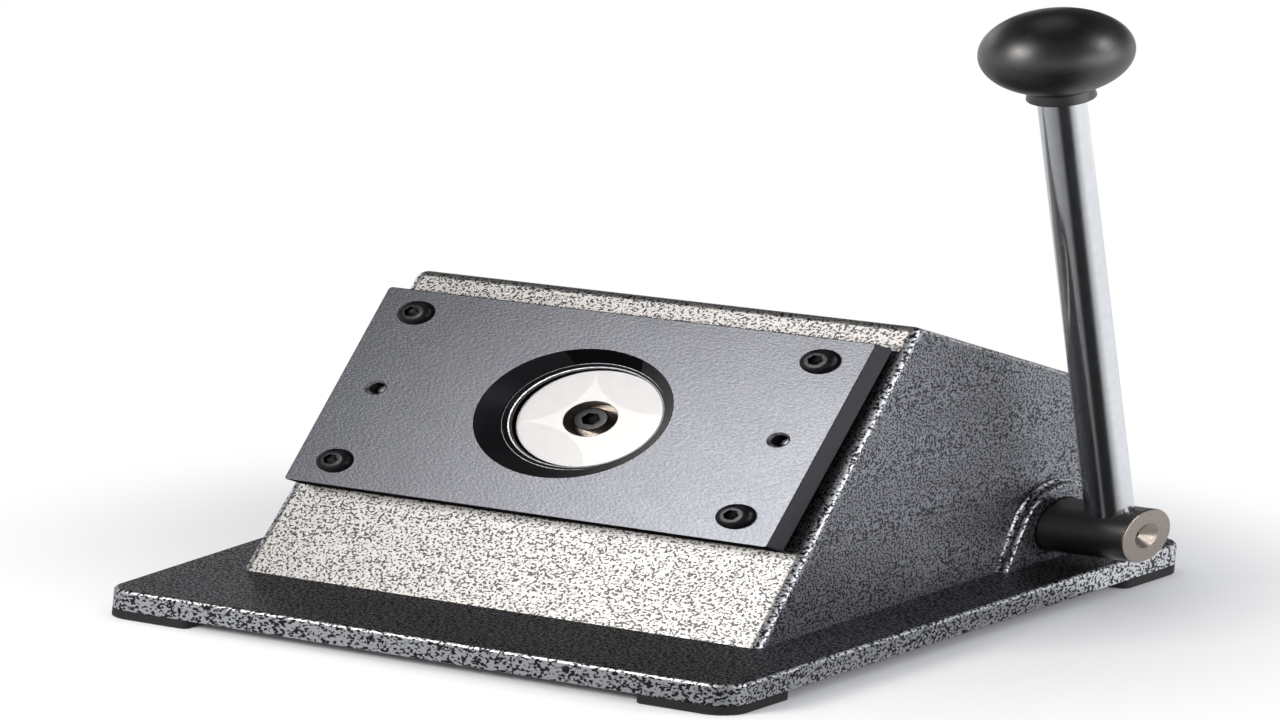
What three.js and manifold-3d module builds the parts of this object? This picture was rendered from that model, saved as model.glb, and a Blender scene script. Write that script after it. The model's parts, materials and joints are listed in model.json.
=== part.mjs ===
// Lever operated circle cutter for round paper blanks. Pulling the lever forward turns a cross shaft. The cam
// on it drives a ram and its round punch out through a die ring in the sloping front plate.
// Lengths are in millimetres and +Z is up. The operator stands at -Y and the lever is on the +X side.
// The origin is the centre of the underside of the base, where the bottom cover lies.
import * as THREE from 'three';
import { mergeVertices } from 'three/addons/utils/BufferGeometryUtils.js';
import { ConvexGeometry } from 'three/addons/geometries/ConvexGeometry.js';
import Module from 'manifold-3d';

const wasm = await Module();
wasm.setup();
const degrees = THREE.MathUtils.degToRad;

// Gaps and cutters
const seatGap = 0.3; // between pieces that are fixed to each other
const runGap = 0.25; // between a turning or sliding piece and its guide
const overrun = 2; // how far a cutter reaches past the surface that it opens
const roundSides = 36; // sides of a large round piece
const hiddenSides = 24; // sides of a large round piece inside the body
const screwSides = 16; // sides of a screw that shows
const smallSides = 12; // sides of another screw, a pin or a small hole
const roundingSteps = 3; // facets across a rounded edge

// Screws
const headChamfer = 0.4; // round the top of a cylinder head

// Base plate
const baseWidth = 194;
const baseDepth = 213;
const baseThickness = 9.5;
const baseCornerRadius = 8;
const baseEdgeRadius = 1.5;
const windowWidth = 86;
const windowDepth = 132;
const windowPastShaft = 10; // from the shaft's axis to the rear edge of the window
const windowCornerRadius = 6;

// Bottom cover, which closes the window from below
const coverLip = 9; // how far the cover reaches past the window on each side
const coverThickness = 1.5;
const coverScrewInset = 5; // from the edge of the cover to a screw
const coverHeadRadius = 3.2;
const coverHeadHeight = 1.2; // the flush countersunk head
const coverShankRadius = 1.5;
const coverShankLength = 7;

// Body casting
const heelInset = 12; // from the rear edge of the base to the rear wall
const bodyFootWidth = 158;
const bodyRidgeWidth = 151;
const faceAngle = degrees(60);
const ridgeInset = 11; // from the upper edge of the plates to the ridge
const backAngle = degrees(30);
const bodyEdgeRadius = 3;
const frontWall = 9;
const bodyWall = 6;
const lugHeight = 25;
const lugSide = 22;
const frontLugInset = 26; // from the foot of the face to the front body screws
const rearLugInset = 32; // from the shaft's axis forward to the rear body screws
const lugInset = 8; // from the side of the bottom cover out to a body screw

// Cross shaft and the two cast bosses that carry it
const shaftRadius = 11.3;
const shaftBack = 136; // from the foot of the sloping face to the shaft's axis
const shaftHeel = 24; // from the shaft's axis to the rear wall
const shaftRise = 14.5; // above the top of the base
const shaftRightEnd = 105.5;
const shaftTailLength = 6; // past the left boss
const shaftChamfer = 0.8;
const centreHoleRadius = 5.4;
const centreHoleDepth = 2.8;
const centrePilotRadius = 1.2;
const bossRadius = 17.5;
const bossDepth = 3; // how far the boss stands out from the side
const bossBevel = 1.2;
const bossInnerRadius = 19;
const bossInnerLength = 8;
const bossLip = 2; // the rim that hides the bush
const bossLipGap = 0.5;
const bushWall = 1.5;
const ringGroove = 1.2;
const ringWidth = 1.4;
const ringRadius = 13.4;
const washerRadius = 14;
const washerThickness = 1.5;
const collarRadius = 14;
const collarWidth = 9;
const grubRadius = 2.2;

// Guide plate, which lies on the body and has the paper channel, and die plate above it
const plateWidth = 147;
const plateLength = 89;
const plateCornerRadius = 1.2;
const plateEdgeRadius = 0.4;
const dieThickness = 9.5;
const paperGap = 1.1;
const guideThickness = 3.3;
const guideInset = 1.5; // the guide plate is this much smaller on each side
const channelWidth = 104;
const screwInsetX = 12.5; // from the side of the plates to a screw
const screwInsetU = 10.5; // from the upper or lower edge of the plates to a screw
const plateScrewRadius = 3;
const plateScrewBite = 7; // how deep it goes into the body
const buttonRadius = 5.4;
const buttonHeight = 3.3;
const buttonFlatRadius = 3;
const plateSocketSize = 4; // across flats
const plateSocketDepth = 2;
const dowelRadius = 2.1;
const dowelDepth = 3.5; // its top lies this far below the face
const dowelBite = 6;
const dowelChamfer = 0.9;

// Die ring, let into the underside of the die plate
const dieRingRadius = 26;
const dieRingHeight = 3;
const dieMouthRadius = 28.5; // of the countersink at the face
const dieThroatRadius = 23.4; // of the countersink where it meets the ring

// Punch, its screw and the ram that carries it
const punchRadius = 21.5;
const punchThickness = 11;
const punchChamfer = 0.4;
const punchDrop = 0.1; // its top lies this far below the paper channel
const punchBoreGap = 1;
const punchScrewRadius = 3;
const punchScrewLength = 20;
const punchHeadRadius = 5;
const punchHeadHeight = 6;
const punchSocketSize = 5;
const punchSocketDepth = 3.4;
const counterboreRadius = 7.7;
const counterboreDepth = 6.6;
const ramRadius = 8;
const ramSpigotRadius = 5;
const ramSpigotLength = 8; // in the fork
const ramHead = 2; // how far the ram goes into the punch
const ramPinRadius = 2;

// Ram guide, screwed to the inside of the front wall
const guideFlangeRadius = 32;
const guideFlangeThickness = 6;
const guideTubeRadius = 13;
const guideScrewCircle = 27;
const guideScrewCount = 4;
const guideScrewStartShare = 0.5; // of the angle between two screws, from the sideways axis to the first
const guideScrewRadius = 2;
const guideScrewBite = 6;
const guideScrewHeadRadius = 3.5;
const guideScrewHeadHeight = 4;
const guideSocketSize = 3;
const guideSocketDepth = 2;

// Roller, its fork and the cam
const rollerOffset = 3.94; // how far the ram's axis passes the shaft's axis, up the face
const rollerRadius = 9;
const rollerWidth = 12;
const rollerPinRadius = 3;
const forkCheek = 6;
const forkDepth = 20;
const forkHeadRadius = 13.5;
const forkHeadHeight = 10;
const forkRollerGap = 0.8; // between the roller and the head
const forkBelowPin = 6;
const camBaseRadius = 15.5;
const camWidth = 12;
const camHubWidth = 10; // the plain hub beside the cam
const camLead = 7.6; // how far the ram moves for each radian that the lever turns
const leverRange = degrees(75);
const camRunOut = degrees(6); // how far the rise goes on past the end of the lever's range
const camSteps = 24;
const keySide = 6;
const keyAngleShare = 0.75; // of the lever's range, so that the key lies under the thick part of the cam

// Return spring round the ram
const springWire = 2.2;
const springMeanRadius = 10.8;
const springTurns = 5;
const springRoom = 24.24; // from the fork to the end of the guide, with the lever at rest
const springSteps = 8;
const springSides = 5;
const wireTurnShare = 0.25; // of a side, by which the wire's section is turned

// Lever and knob
const leverX = 96;
const leverRadius = 6;
const leverLean = degrees(12); // forward of upright
const leverLength = 232; // from the shaft's axis to the centre of the knob
const leverDepth = 7; // how far the rod goes past the shaft's axis
const leverTipRadius = 4;
const leverTipLength = 14;
const leverNeckChamfer = 0.8;
const knobRadius = 19;
const knobNeckRadius = 8.65;
const knobNeckReach = 22.3; // from the centre of the knob to the end of its neck
const knobSideSteps = 11;
const insertRadius = 7;
const insertLength = 18;
const insertFloor = 1.5;

// Feet
const footSide = 28;
const footHeight = 4;
const footInnerRadius = 2;
const footScrewRadius = 2;
const footScrewLength = 9;
const footHeadRadius = 3.6;
const footHeadHeight = 2;
const footRecessDepth = 2.6;
const footRecessRadius = 4.2;

// Screws that hold the body on the base, from below
const bodyScrewRadius = 3;
const bodyScrewBite = 16;
const bodyHeadRadius = 5;
const bodyHeadHeight = 6;
const bodyCounterbore = 6.5;
const bodySocketSize = 5;
const bodySocketDepth = 3;

// Places worked out from the sizes above
const heelY = baseDepth / 2 - heelInset;
const shaftY = heelY - shaftHeel;
const toeY = shaftY - shaftBack;
const shaftZ = baseThickness + shaftRise;

// The shaft's axis seen in the frame of the face: u runs up the face and n stands out from it
const shaftU = shaftBack * Math.cos(faceAngle) + shaftRise * Math.sin(faceAngle);
const shaftN = shaftRise * Math.cos(faceAngle) - shaftBack * Math.sin(faceAngle);

// The plates are centred on the ram, and the face reaches past them to the ridge
const plateCentreU = shaftU + rollerOffset;
const faceLength = plateCentreU + plateLength / 2 + ridgeInset;
const ridgeRise = faceLength * Math.sin(faceAngle);
const sideSlope = (bodyFootWidth - bodyRidgeWidth) / 2 / ridgeRise;
const sideAtShaft = bodyFootWidth / 2 - sideSlope * shaftRise;
const bossFaceX = sideAtShaft + bossDepth;
const guideTop = guideThickness;
const channelTop = guideTop - paperGap + seatGap;
const dieBottom = guideTop + seatGap;
const dieTop = dieBottom + dieThickness;
const punchTop = channelTop - punchDrop;
const punchBottom = punchTop - punchThickness;
const guideFlangeTop = -frontWall - seatGap;

// The roller rests on the cam's base circle
const rollerReach = camBaseRadius + rollerRadius + seatGap;
const rollerStart = Math.sqrt(rollerReach ** 2 - rollerOffset ** 2);
const rollerN = shaftN + rollerStart;
const forkSlotTop = rollerN + rollerRadius + forkRollerGap;
const forkTop = forkSlotTop + forkHeadHeight;
const guideTubeBottom = forkTop + springRoom;
const rollerSlotWidth = rollerWidth + 2 * seatGap;

// Materials, one for each kind of surface
function finish(color, roughness, metalness) {
  return new THREE.MeshStandardMaterial({ color, roughness, metalness });
}
const hammertone = () => finish(0x8b8e95, 0.42, 0.65);
const gunmetal = () => finish(0x7d7e82, 0.45, 0.8);
const brightSteel = () => finish(0xd6d7da, 0.18, 1);
const plainSteel = () => finish(0x8f9298, 0.35, 1);
const blackOxide = () => finish(0x1d1e21, 0.4, 0.7);
const brownSteel = () => finish(0x6c6259, 0.3, 0.9);
const chrome = () => finish(0xe6e7ea, 0.08, 1);
const bronze = () => finish(0xb18a4e, 0.35, 0.95);
const zinc = () => finish(0xbfc2c6, 0.35, 1);
const springSteel = () => finish(0x6f7378, 0.35, 1);
const phenolic = () => finish(0x0c0c0e, 0.12, 0);
const rubber = () => finish(0x1b1c1e, 0.85, 0);

// A closed set of merged vertices and outward triangles from any closed three.js geometry
function closed(geometry) {
  const bare = geometry.clone();
  bare.deleteAttribute('normal');
  bare.deleteAttribute('uv');
  const merged = mergeVertices(bare);
  const places = merged.attributes.position.array;
  const corner = (index) => new THREE.Vector3().fromArray(places, 3 * index);
  const triangles = [];
  let volume = 0;
  for (let i = 0; i < merged.index.count; i += 3) {
    const [a, b, c] = [0, 1, 2].map((k) => merged.index.getX(i + k));
    if (a === b || b === c || c === a) continue;
    triangles.push([a, b, c]);
    volume += corner(a).dot(corner(b).cross(corner(c)));
  }
  const outward = volume > 0 ? triangles : triangles.map(([a, b, c]) => [a, c, b]);
  return { places: Float32Array.from(places), indices: Uint32Array.from(outward.flat()) };
}

function solidOf(geometry) {
  const { places, indices } = closed(geometry);
  return new wasm.Manifold(new wasm.Mesh({ numProp: 3, vertProperties: places, triVerts: indices }));
}

function geometryOf(places, indices) {
  const geometry = new THREE.BufferGeometry();
  geometry.setAttribute('position', new THREE.BufferAttribute(places, 3));
  geometry.setIndex(new THREE.BufferAttribute(indices, 1));
  const flat = geometry.toNonIndexed();
  flat.computeVertexNormals();
  return flat;
}

// Joins the first list and cuts away the second
function shaped(joined, cuts = []) {
  let solid = solidOf(joined[0]);
  for (const geometry of joined.slice(1)) solid = solid.add(solidOf(geometry));
  for (const geometry of cuts) solid = solid.subtract(solidOf(geometry));
  const mesh = solid.getMesh();
  return geometryOf(Float32Array.from(mesh.vertProperties), Uint32Array.from(mesh.triVerts));
}

// What two shapes share
function common(one, other) {
  const mesh = solidOf(one).intersect(solidOf(other)).getMesh();
  return geometryOf(Float32Array.from(mesh.vertProperties), Uint32Array.from(mesh.triVerts));
}

// Turns a shape that was made along Z so that it lies along X, with its own X and Y on Y and Z
function alongX(geometry) {
  const basis = new THREE.Matrix4().makeBasis(
    new THREE.Vector3(0, 1, 0),
    new THREE.Vector3(0, 0, 1),
    new THREE.Vector3(1, 0, 0),
  );
  return geometry.applyMatrix4(basis);
}

// A round bar along Z between two heights
function bar(radius, low, high, sides = smallSides, topRadius = radius) {
  const geometry = new THREE.CylinderGeometry(topRadius, radius, high - low, sides);
  return geometry.rotateX(Math.PI / 2).translate(0, 0, (low + high) / 2);
}

// A turned piece round Z from its section, a list of radius and height
function turned(section, sides = roundSides) {
  const points = section.map(([radius, height]) => new THREE.Vector2(radius, height));
  return new THREE.LatheGeometry(points, sides).rotateX(Math.PI / 2);
}

// A turned ring round Z: the section closes on itself
function turnedRing(section, sides = roundSides) {
  return turned([...section, section[0]], sides);
}

// A block between two corners
function block(low, high) {
  const size = high.map((value, axis) => value - low[axis]);
  const middle = high.map((value, axis) => (value + low[axis]) / 2);
  return new THREE.BoxGeometry(...size).translate(...middle);
}

// A hexagonal socket along Z, given across flats
function hexSocket(acrossFlats, low, high) {
  return bar(acrossFlats / Math.sqrt(3), low, high, 6);
}

// The points of a rectangle with round corners
function roundedCorners(width, depth, radius) {
  const points = [];
  const quarters = [[1, 1], [-1, 1], [-1, -1], [1, -1]];
  quarters.forEach(([signX, signY], quarter) => {
    for (let step = 0; step <= 2 * roundingSteps; step += 1) {
      const angle = (quarter + step / (2 * roundingSteps)) * (Math.PI / 2);
      const x = signX * (width / 2 - radius) + radius * Math.cos(angle);
      const y = signY * (depth / 2 - radius) + radius * Math.sin(angle);
      points.push([x, y]);
    }
  });
  return points;
}

// A plate with round corners between two heights, its top edge rounded by edgeRadius
function slab(width, depth, cornerRadius, low, high, edgeRadius = 0) {
  const points = [];
  const layer = (inset, height) => {
    const ring = roundedCorners(width - 2 * inset, depth - 2 * inset, cornerRadius - inset);
    ring.forEach(([x, y]) => points.push(new THREE.Vector3(x, y, height)));
  };
  layer(0, low);
  for (let step = 0; step <= (edgeRadius > 0 ? roundingSteps : 0); step += 1) {
    const angle = (step / roundingSteps) * (Math.PI / 2);
    layer(edgeRadius * (1 - Math.cos(angle)), high - edgeRadius * (1 - Math.sin(angle)));
  }
  return new ConvexGeometry(points);
}

// A plane is its outward normal and its distance from the origin along it
function plane(normal, point) {
  const unit = normal.clone().normalize();
  return { unit, reach: unit.dot(point) };
}

// The convex solid inside the planes, with its edges rounded. Each corner names the three planes that meet.
function roundedSolid(planes, corners, radius) {
  const points = [];
  for (const names of corners) {
    const faces = names.map((name) => planes[name]);
    const rows = faces.flatMap((face) => face.unit.toArray());
    const inverse = new THREE.Matrix3().set(...rows).invert();
    const reaches = new THREE.Vector3(...faces.map((face) => face.reach - radius));
    const centre = reaches.applyMatrix3(inverse);
    for (let i = 0; i <= roundingSteps; i += 1) {
      for (let j = 0; j <= roundingSteps - i; j += 1) {
        const shares = [i, j, roundingSteps - i - j];
        const towards = new THREE.Vector3();
        faces.forEach((face, k) => towards.addScaledVector(face.unit, shares[k]));
        points.push(centre.clone().addScaledVector(towards.normalize(), radius));
      }
    }
  }
  return new ConvexGeometry(points);
}

// Puts shapes made in the frame of the face, or about the shaft's axis, into the frame of the base
const faceFrame = new THREE.Matrix4().makeRotationX(faceAngle).setPosition(0, toeY, baseThickness);
const onFace = (geometry) => geometry.applyMatrix4(faceFrame);
const onShaft = (geometry) => alongX(geometry).translate(0, shaftY, shaftZ);

// The scene: the fixed pieces of the face and of the shaft each share a group
const cutter = new THREE.Group();
const faceGroup = new THREE.Group();
faceGroup.position.set(0, toeY, baseThickness);
faceGroup.rotation.x = faceAngle;
const shaftGroup = new THREE.Group();
shaftGroup.position.set(0, shaftY, shaftZ);
const leverGroup = new THREE.Group();
leverGroup.position.set(leverX, 0, 0);
leverGroup.rotation.x = leverLean;
shaftGroup.add(leverGroup);
const camGroup = new THREE.Group();
camGroup.rotation.x = faceAngle;
shaftGroup.add(camGroup);
cutter.add(faceGroup, shaftGroup);

function place(group, name, geometry, material, position = [0, 0, 0]) {
  const { places, indices } = closed(geometry);
  const mesh = new THREE.Mesh(geometryOf(places, indices), material);
  mesh.name = name;
  mesh.position.set(...position);
  group.add(mesh);
  return mesh;
}

// Where the repeated pieces sit
const footX = (baseWidth - footSide) / 2;
const footY = (baseDepth - footSide) / 2;
const corners = [['front_right', 1, -1], ['front_left', -1, -1], ['rear_right', 1, 1], ['rear_left', -1, 1]];
const bodyScrewY = { '-1': toeY + frontLugInset, 1: shaftY - rearLugInset };
const windowY = shaftY + windowPastShaft - windowDepth / 2;
const coverWidth = windowWidth + 2 * coverLip;
const coverDepth = windowDepth + 2 * coverLip;
const bodyScrewX = coverWidth / 2 + lugInset;
const coverScrewX = coverWidth / 2 - coverScrewInset;
const coverScrewY = coverDepth / 2 - coverScrewInset;
const coverShankHole = coverShankRadius + seatGap;

function makeBase() {
  const cuts = [
    slab(windowWidth, windowDepth, windowCornerRadius, -overrun, baseThickness + overrun),
    slab(coverWidth + 2 * seatGap, coverDepth + 2 * seatGap, windowCornerRadius, -overrun, coverThickness),
  ].map((cut) => cut.translate(0, windowY, 0));
  for (const [, signX, signY] of corners) {
    const screwReach = footScrewLength - footHeight + footRecessDepth;
    const screwHole = bar(footScrewRadius + seatGap, -overrun, screwReach);
    cuts.push(screwHole.translate(signX * footX, signY * footY, 0));
    const shankHole = bar(bodyScrewRadius + seatGap, -overrun, baseThickness + overrun);
    cuts.push(shankHole.translate(signX * bodyScrewX, bodyScrewY[signY], 0));
    const headHole = bar(bodyHeadRadius + seatGap, -overrun, bodyCounterbore);
    cuts.push(headHole.translate(signX * bodyScrewX, bodyScrewY[signY], 0));
    const coverHole = bar(coverShankHole, -overrun, coverShankLength + seatGap);
    cuts.push(coverHole.translate(signX * coverScrewX, windowY + signY * coverScrewY, 0));
  }
  const plate = slab(baseWidth, baseDepth, baseCornerRadius, 0, baseThickness, baseEdgeRadius);
  place(cutter, 'base_plate', shaped([plate], cuts), hammertone());
}

function makeCover() {
  const cuts = corners.map(([, signX, signY]) => {
    const hole = bar(coverHeadRadius + seatGap, -overrun, coverThickness + overrun);
    return hole.translate(signX * coverScrewX, windowY + signY * coverScrewY, 0);
  });
  const sheet = slab(coverWidth, coverDepth, windowCornerRadius, 0, coverThickness);
  place(cutter, 'bottom_cover', shaped([sheet.translate(0, windowY, 0)], cuts), zinc());
  for (const [name, signX, signY] of corners) {
    const screw = turned([
      [0, 0],
      [coverHeadRadius, 0],
      [coverHeadRadius, coverHeadHeight],
      [coverShankRadius, coverHeadHeight],
      [coverShankRadius, coverShankLength],
      [0, coverShankLength],
    ], smallSides);
    const seat = [signX * coverScrewX, windowY + signY * coverScrewY, 0];
    place(cutter, `cover_screw_${name}`, screw, zinc(), seat);
  }
}

// The body's outer or inner form: each plane is moved in by the wall behind it
function bodyForm(front, wall, radius) {
  const up = new THREE.Vector3(0, 0, 1);
  const toe = new THREE.Vector3(0, toeY, baseThickness);
  const ridgeStep = new THREE.Vector3(0, Math.cos(faceAngle), Math.sin(faceAngle)).multiplyScalar(faceLength);
  const ridge = toe.clone().add(ridgeStep);
  const side = (sign) => {
    const normal = new THREE.Vector3(sign, 0, sideSlope);
    return plane(normal, new THREE.Vector3(sign * (bodyFootWidth / 2 - wall), toeY, baseThickness));
  };
  const frontNormal = new THREE.Vector3(0, -Math.sin(faceAngle), Math.cos(faceAngle));
  const backNormal = new THREE.Vector3(0, Math.sin(backAngle), Math.cos(backAngle));
  const planes = {
    front: plane(frontNormal, toe.clone().addScaledVector(frontNormal, -front)),
    back: plane(backNormal, ridge.clone().addScaledVector(backNormal, -wall)),
    rear: plane(new THREE.Vector3(0, 1, 0), new THREE.Vector3(0, heelY - wall, 0)),
    under: plane(up.clone().negate(), new THREE.Vector3(0, 0, baseThickness - 2 * radius - overrun)),
    right: side(1),
    left: side(-1),
  };
  const rounds = ['right', 'left'].flatMap((hand) => [
    ['front', 'back', hand],
    ['back', 'rear', hand],
    ['rear', 'under', hand],
    ['under', 'front', hand],
  ]);
  return roundedSolid(planes, rounds, radius);
}

// The outline of a side boss about the shaft's axis: a round head on two spread legs, the rear one of which
// ends at the rear wall
function bossOutline(inset) {
  const radius = bossRadius - inset;
  const footHalf = shaftHeel - inset;
  const reach = Math.hypot(footHalf, shaftRise);
  const tangent = Math.acos(radius / reach) - Math.atan2(shaftRise, footHalf);
  const points = [[footHalf, -shaftRise], [-footHalf, -shaftRise]];
  const arcSteps = 6 * roundingSteps;
  for (let step = 0; step <= arcSteps; step += 1) {
    const angle = tangent + (step / arcSteps) * (Math.PI - 2 * tangent);
    points.push([radius * Math.cos(angle), radius * Math.sin(angle)]);
  }
  return points;
}

// A side boss with a bevelled rim, from where the leaning wall is at the boss's top out to its face, before
// the body is cut away from it
function bossPad(sign) {
  const layers = [
    [0, sideAtShaft - bossRadius * sideSlope],
    [0, bossFaceX - bossBevel],
    [bossBevel, bossFaceX],
  ];
  const points = layers.flatMap(([inset, x]) => (
    bossOutline(inset).map(([y, z]) => new THREE.Vector3(sign * x, shaftY + y, shaftZ + z))
  ));
  return new ConvexGeometry(points);
}

const bushOuter = shaftRadius + runGap + bushWall;
const bushStart = sideAtShaft - bodyWall - bossInnerLength;
const bushEnd = bossFaceX - bossLip - seatGap;
const screwX = plateWidth / 2 - screwInsetX;
const screwU = plateLength / 2 - screwInsetU;
const plateScrewSpots = [[1, 1], [-1, 1], [-1, -1], [1, -1]].map(([signX, signU]) => (
  [signX * screwX, plateCentreU + signU * screwU]
));
const dowelSpots = [1, -1].map((sign) => [sign * screwX, plateCentreU]);
const guideScrewSpots = Array.from({ length: guideScrewCount }, (_, index) => {
  const angle = ((index + guideScrewStartShare) / guideScrewCount) * 2 * Math.PI;
  return [guideScrewCircle * Math.cos(angle), plateCentreU + guideScrewCircle * Math.sin(angle)];
});

// The bore for a side's bush, which the boss's rim hides
function bushBore(sign) {
  const ends = [sign * (bushStart - overrun), sign * (bossFaceX - bossLip)].sort((a, b) => a - b);
  return onShaft(bar(bushOuter + seatGap, ...ends, hiddenSides));
}

function makeBosses() {
  for (const [hand, sign] of [['right', 1], ['left', -1]]) {
    const ends = [sign * bushStart, sign * (bossFaceX + overrun)].sort((a, b) => a - b);
    const rimBore = onShaft(bar(shaftRadius + bossLipGap, ...ends, roundSides));
    const wall = bodyForm(-seatGap, -seatGap, bodyEdgeRadius);
    const boss = shaped([bossPad(sign)], [wall, bushBore(sign), rimBore]);
    place(cutter, `side_boss_${hand}`, boss, hammertone());
  }
}

function makeBody() {
  const outer = bodyForm(0, 0, bodyEdgeRadius);
  const cavity = bodyForm(frontWall, bodyWall, bodyEdgeRadius);
  const floorCut = block(
    [-bodyFootWidth, toeY - baseDepth, -baseDepth],
    [bodyFootWidth, heelY + baseDepth, baseThickness],
  );
  const inside = [];
  for (const [, signX, signY] of corners) {
    const middle = [signX * bodyScrewX, bodyScrewY[signY]];
    const reach = lugSide / 2;
    const lug = block(
      [middle[0] - reach, middle[1] - reach, 0],
      [middle[0] + reach, middle[1] + reach, baseThickness + lugHeight],
    );
    const web = block(
      [Math.min(middle[0], signX * bodyFootWidth / 2), middle[1] - reach, 0],
      [Math.max(middle[0], signX * bodyFootWidth / 2), middle[1] + reach, baseThickness + lugHeight],
    );
    inside.push(common(lug, outer), common(web, outer));
  }
  for (const sign of [1, -1]) {
    const low = sign > 0 ? bushStart : -sideAtShaft + overrun;
    const high = sign > 0 ? sideAtShaft - overrun : -bushStart;
    inside.push(onShaft(bar(bossInnerRadius, low, high, hiddenSides)));
  }
  const cuts = [floorCut, bushBore(1), bushBore(-1)];
  const throughWall = -frontWall - overrun;
  const punchHole = bar(punchRadius + punchBoreGap, throughWall, overrun, hiddenSides);
  cuts.push(onFace(punchHole.translate(0, plateCentreU, 0)));
  for (const [x, u] of plateScrewSpots) {
    cuts.push(onFace(bar(plateScrewRadius + seatGap, -plateScrewBite - seatGap, overrun).translate(x, u, 0)));
  }
  for (const [x, u] of dowelSpots) {
    cuts.push(onFace(bar(dowelRadius + seatGap, -dowelBite - seatGap, overrun).translate(x, u, 0)));
  }
  for (const [x, u] of guideScrewSpots) {
    const depth = -frontWall + guideScrewBite + seatGap;
    cuts.push(onFace(bar(guideScrewRadius + seatGap, throughWall, depth).translate(x, u, 0)));
  }
  for (const [, signX, signY] of corners) {
    const depth = baseThickness + bodyScrewBite + seatGap;
    cuts.push(bar(bodyScrewRadius + seatGap, 0, depth).translate(signX * bodyScrewX, bodyScrewY[signY], 0));
  }
  const shell = shaped([outer], [cavity]);
  place(cutter, 'body_shell', shaped([shell, ...inside], cuts), hammertone());
}

// A socket screw with its head's seat at height 0, its shank below and its head above
function socketScrew(head, shankRadius, length, socketSize, socketDepth, headHeight, sides = smallSides) {
  const screw = turned([[0, -length], [shankRadius, -length], [shankRadius, 0], ...head], sides);
  return shaped([screw], [hexSocket(socketSize, headHeight - socketDepth, headHeight + overrun)]);
}

function cylinderHead(radius, height, chamfer) {
  return [[radius, 0], [radius, height - chamfer], [radius - chamfer, height], [0, height]];
}

function buttonHead() {
  const section = [[buttonRadius, 0]];
  for (let step = 1; step <= 2 * roundingSteps; step += 1) {
    const angle = (step / (2 * roundingSteps)) * (Math.PI / 2);
    const radius = buttonFlatRadius + (buttonRadius - buttonFlatRadius) * Math.cos(angle);
    section.push([radius, buttonHeight * Math.sin(angle)]);
  }
  return [...section, [0, buttonHeight]];
}

function makeBodyScrews() {
  const seat = bodyCounterbore - seatGap;
  const length = baseThickness - seat + bodyScrewBite;
  const head = cylinderHead(bodyHeadRadius, bodyHeadHeight, headChamfer);
  for (const [name, signX, signY] of corners) {
    const screw = socketScrew(head, bodyScrewRadius, length, bodySocketSize, bodySocketDepth, bodyHeadHeight);
    const spot = [signX * bodyScrewX, bodyScrewY[signY], seat];
    place(cutter, `body_screw_${name}`, screw.rotateX(Math.PI), blackOxide(), spot);
  }
}

function makeFeet() {
  const head = cylinderHead(footHeadRadius, footHeadHeight, headChamfer);
  for (const [name, signX, signY] of corners) {
    const reach = footSide / 2;
    const points = [];
    for (const height of [-footHeight, 0]) {
      const outerSpot = [signX * (reach - baseCornerRadius), signY * (reach - baseCornerRadius)];
      for (let step = 0; step <= 2 * roundingSteps; step += 1) {
        const angle = (step / (2 * roundingSteps)) * (Math.PI / 2);
        const x = outerSpot[0] + signX * baseCornerRadius * Math.cos(angle);
        const y = outerSpot[1] + signY * baseCornerRadius * Math.sin(angle);
        points.push(new THREE.Vector3(x, y, height));
      }
      for (const [x, y] of roundedCorners(footSide, footSide, footInnerRadius)) {
        const atOuterCorner = signX * x > 0 && signY * y > 0;
        if (!atOuterCorner) points.push(new THREE.Vector3(x, y, height));
      }
    }
    const pad = shaped([new ConvexGeometry(points)], [
      bar(footRecessRadius, -footHeight - overrun, -footHeight + footRecessDepth),
      bar(footScrewRadius + seatGap, -footHeight - overrun, overrun),
    ]);
    place(cutter, `foot_${name}`, pad, rubber(), [signX * footX, signY * footY, 0]);
    const screw = socketScrew(
      head,
      footScrewRadius,
      footScrewLength,
      guideSocketSize,
      footHeadHeight / 2,
      footHeadHeight,
    );
    const seat = -footHeight + footRecessDepth - seatGap;
    place(cutter, `foot_screw_${name}`, screw.rotateX(Math.PI), zinc(), [signX * footX, signY * footY, seat]);
  }
}

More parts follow.
